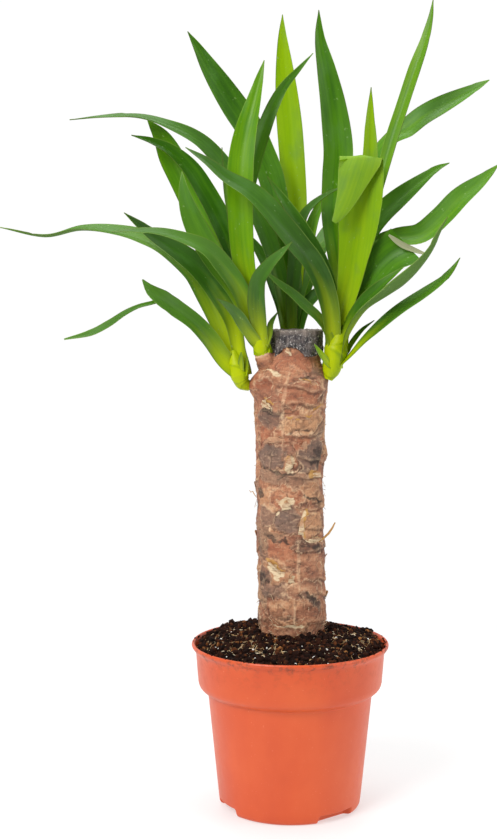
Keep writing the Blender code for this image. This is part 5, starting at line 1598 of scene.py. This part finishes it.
                belly=0.76, painted_sheen=0.15,
            ),
            # Broad leaf with a cut end
            leaf(
                ((30, -9, 289), (35, -13, 304.5), (43.9, -17, 319.9), (49.5, -20, 328.7),
                 (56.8, -23, 336.6), (63, -25.2, 340.6), (67.3, -26, 342.7)),
                22,
                ((-0.3, -0.9, 0.1), (-0.3, -0.9, 0.2), (-0.3, -0.9, 0.1)),
                widths=(8, 9, 10, 13, 17, 22, 24.5, 25.5), skews=(0, 0, 0, 0, 0, 0.1, 0.25, 0.35),
                tone=-0.15, painted_sheen=0.05,
            ),
            # Dry strip along that cut
            leaf(
                ((56.1, -27.2, 348.9), (59.2, -27.6, 346.3), (63.9, -28, 343.1), (69.2, -28, 340.8),
                 (73.8, -28, 339.1), (78.9, -27.5, 337.5)),
                5, ((-0.2, -0.8, 0.6), (-0.2, -0.9, 0.3), (-0.2, -0.8, 0.6)),
                widths=(1.2, 3, 3.8, 3.4, 2.6, 1), rooted=False, dry=True,
            ),
            # Narrow leaf in front of it
            leaf(
                ((31.5, -13, 292), (40.3, -21, 307.5), (52.2, -28, 319.8), (65, -33, 330.7)),
                8, ((-0.4, -0.8, 0.4), (-0.5, -0.7, 0.5)), belly=0.6, tone=-0.2, painted_sheen=0.1,
            ),
            # Leaf that shows its grey-green underside
            leaf(
                ((31, -12, 284), (36, -18, 295), (43.5, -26, 306), (55.2, -34, 314.6), (66.8, -40, 324.8),
                 (74.7, -43, 333.4), (79.7, -44, 340.8), (83, -45, 348.7), (88, -45, 358.6)),
                12, ((-0.5, -0.4, 0.7), (-0.5, 0.5, 0.7), (-0.6, 0.6, 0.5)), belly=0.5, painted_sheen=0.9,
            ),
            # Low slim leaf
            leaf(
                ((34, -12, 276.8), (44.3, -17, 287.5), (55.2, -21, 298), (65, -24, 306), (77, -27, 314.2),
                 (87.3, -29, 322), (93, -30, 328.4), (97.6, -30, 335.7)),
                9.5, ((-0.4, -0.5, 0.8), (-0.3, -0.7, 0.7)), belly=0.62, tone=-0.1, painted_sheen=0.15,
            ),
            # Small low leaf
            leaf(
                ((33, -7, 279), (36.5, -9, 285.2), (42.4, -11, 293), (49.5, -12, 299)),
                4.5, ((-0.4, -0.6, 0.7), (-0.3, -0.6, 0.8)), tone=-0.3,
            ),
            # Long leaf across the front to the left
            leaf(
                ((25, -10, 285.3), (22.9, -17, 304), (18.4, -24, 319.2), (11.6, -31, 332), (3.2, -37, 342),
                 (-6.2, -41, 353.5), (-15.5, -43, 364.7), (-24.7, -43, 373), (-38, -42, 381),
                 (-49.6, -40, 390.4), (-61.8, -37, 398.5)),
                14, ((0, -0.9, 0.3), (-0.1, -0.8, 0.6), (-0.1, -0.8, 0.6)), tone=-0.45, painted_sheen=0.25,
            ),
            # Leaf close behind it, in its shadow: its dark tone is painted shade
            leaf(
                ((25.2, -8, 286.4), (24.3, -12, 306.3), (20.6, -16, 321), (15.6, -20, 333.3),
                 (9.5, -24, 344.8), (2.3, -27, 357), (-6, -29, 370), (-14.8, -30, 382.6)),
                11, ((0.2, -0.9, 0.2), (0.3, -0.9, 0.3)), belly=0.5, tone=-0.3, painted_sheen=0.1,
            ),
            # Thin leaf curving over the wax
            leaf(
                ((24.4, -11, 281), (21.3, -13, 292), (15.8, -16, 300.4), (9.2, -19, 306.3),
                 (0.2, -22, 314.6), (-9.3, -24, 322), (-17, -25, 329)),
                6.5, ((0.2, -0.8, 0.5), (0, -0.8, 0.6)), belly=0.6, tone=-0.3, painted_sheen=0.4,
            ),
            # Small bract
            leaf(
                ((23, -13, 272), (18.3, -16, 278), (13.4, -18, 285)),
                4, ((0.1, -0.8, 0.6), (0.1, -0.9, 0.4)), tone=0.2,
            ),
            # Back leaf, rising
            leaf(
                ((36, 20, 300), (42, 45, 330), (44, 75, 350), (42, 100, 355)),
                14, ((-0.2, -0.6, 0.7), (0, -0.3, 1)), tone=0.1, painted_sheen=0.1,
            ),
            # Back leaf, arching away
            leaf(
                ((31, 22, 290), (35, 50, 318), (36, 85, 335), (36, 115, 330)),
                13, ((0, -0.6, 0.7), (0, -0.1, 1)), painted_sheen=0.1,
            ),
        ),
    },
}


# Stage, light and camera


def make_stage(finish):
    """A plain white board under the pot."""
    line = np.linspace(-BOARD_HALF, BOARD_HALF, BOARD_CELLS + 1)
    points = [(x, y, -BOARD_DROP) for y in line for x in line]
    board = piece("white_board", points, grid_faces(len(line), len(line), closed=False), finish)


def softbox(name, place, aim, size, watts, colour="#FFFFFF"):
    """A large soft lamp at a place, turned to what it lights."""
    lamp = bpy.data.lights.new(name, "AREA")
    lamp.shape = "RECTANGLE"
    lamp.size, lamp.size_y = (s * MM for s in size)
    lamp.energy = watts
    lamp.color = srgb(colour)[:3]
    made = bpy.data.objects.new(name, lamp)
    made.location = Vector(place) * MM
    made.rotation_euler = (Vector(aim) - Vector(place)).to_track_quat("-Z", "Y").to_euler()
    bpy.context.scene.collection.objects.link(made)


def light_room():
    """White light all round, as in a light tent, and three large soft lamps."""
    room = bpy.data.worlds.new("white_room")
    room.use_nodes = True
    room.node_tree.nodes.clear()
    look = add(room, "TexCoord", out="Generated")
    rise = add(room, "SeparateXYZ", (look,), out=2)
    depth = add(room, "SeparateXYZ", (look,), out=1)
    walls = add(room, "ValToRGB", (add(room, "MapRange", (rise, -1.0, 1.0)),), stops=ROOM_SHADES)
    strength = add(room, "MapRange", (depth, -0.3, 0.5, ROOM_LIGHT * FRONT_SHARE, ROOM_LIGHT))
    light = add(room, "Background", (walls, strength))
    add(room, "OutputWorld", (light,))
    bpy.context.scene.world = room
    for name, place, size, watts in SOFTBOXES:
        softbox(name, place, PLANT_MIDDLE, size, watts)


def set_camera():
    """The view of the photograph: level with the leaves, tilted down a little, without depth of field."""
    lens = bpy.data.cameras.new("photo_view")
    lens.sensor_width = SENSOR
    lens.lens = SENSOR * FOCAL_PIXELS / PHOTO_TALL
    lens.clip_start = 0.01
    camera = bpy.data.objects.new("photo_view", lens)
    camera.location = Vector(CAMERA_PLACE) * MM
    camera.rotation_euler = (math.radians(90 - CAMERA_DOWN), 0, 0)
    bpy.context.scene.collection.objects.link(camera)
    bpy.context.scene.camera = camera


def main():
    """Makes every piece, the stage, the light and the camera."""
    bpy.context.scene.view_settings.view_transform = "Standard"
    set_camera()
    make_pot(moulded_polypropylene())
    make_soil(potting_soil())
    make_threads(dry_root())
    make_perlite(perlite())
    bark = yucca_bark()
    make_cane(bark)
    make_bark_flakes(bark)
    make_bark_collars(bark)
    make_wax(sealing_wax())
    leaf_skin = living_leaf()
    for name, shoot in SHOOTS.items():
        make_shoot(name, shoot, leaf_skin)
    make_stage(painted_board())
    light_room()


main()
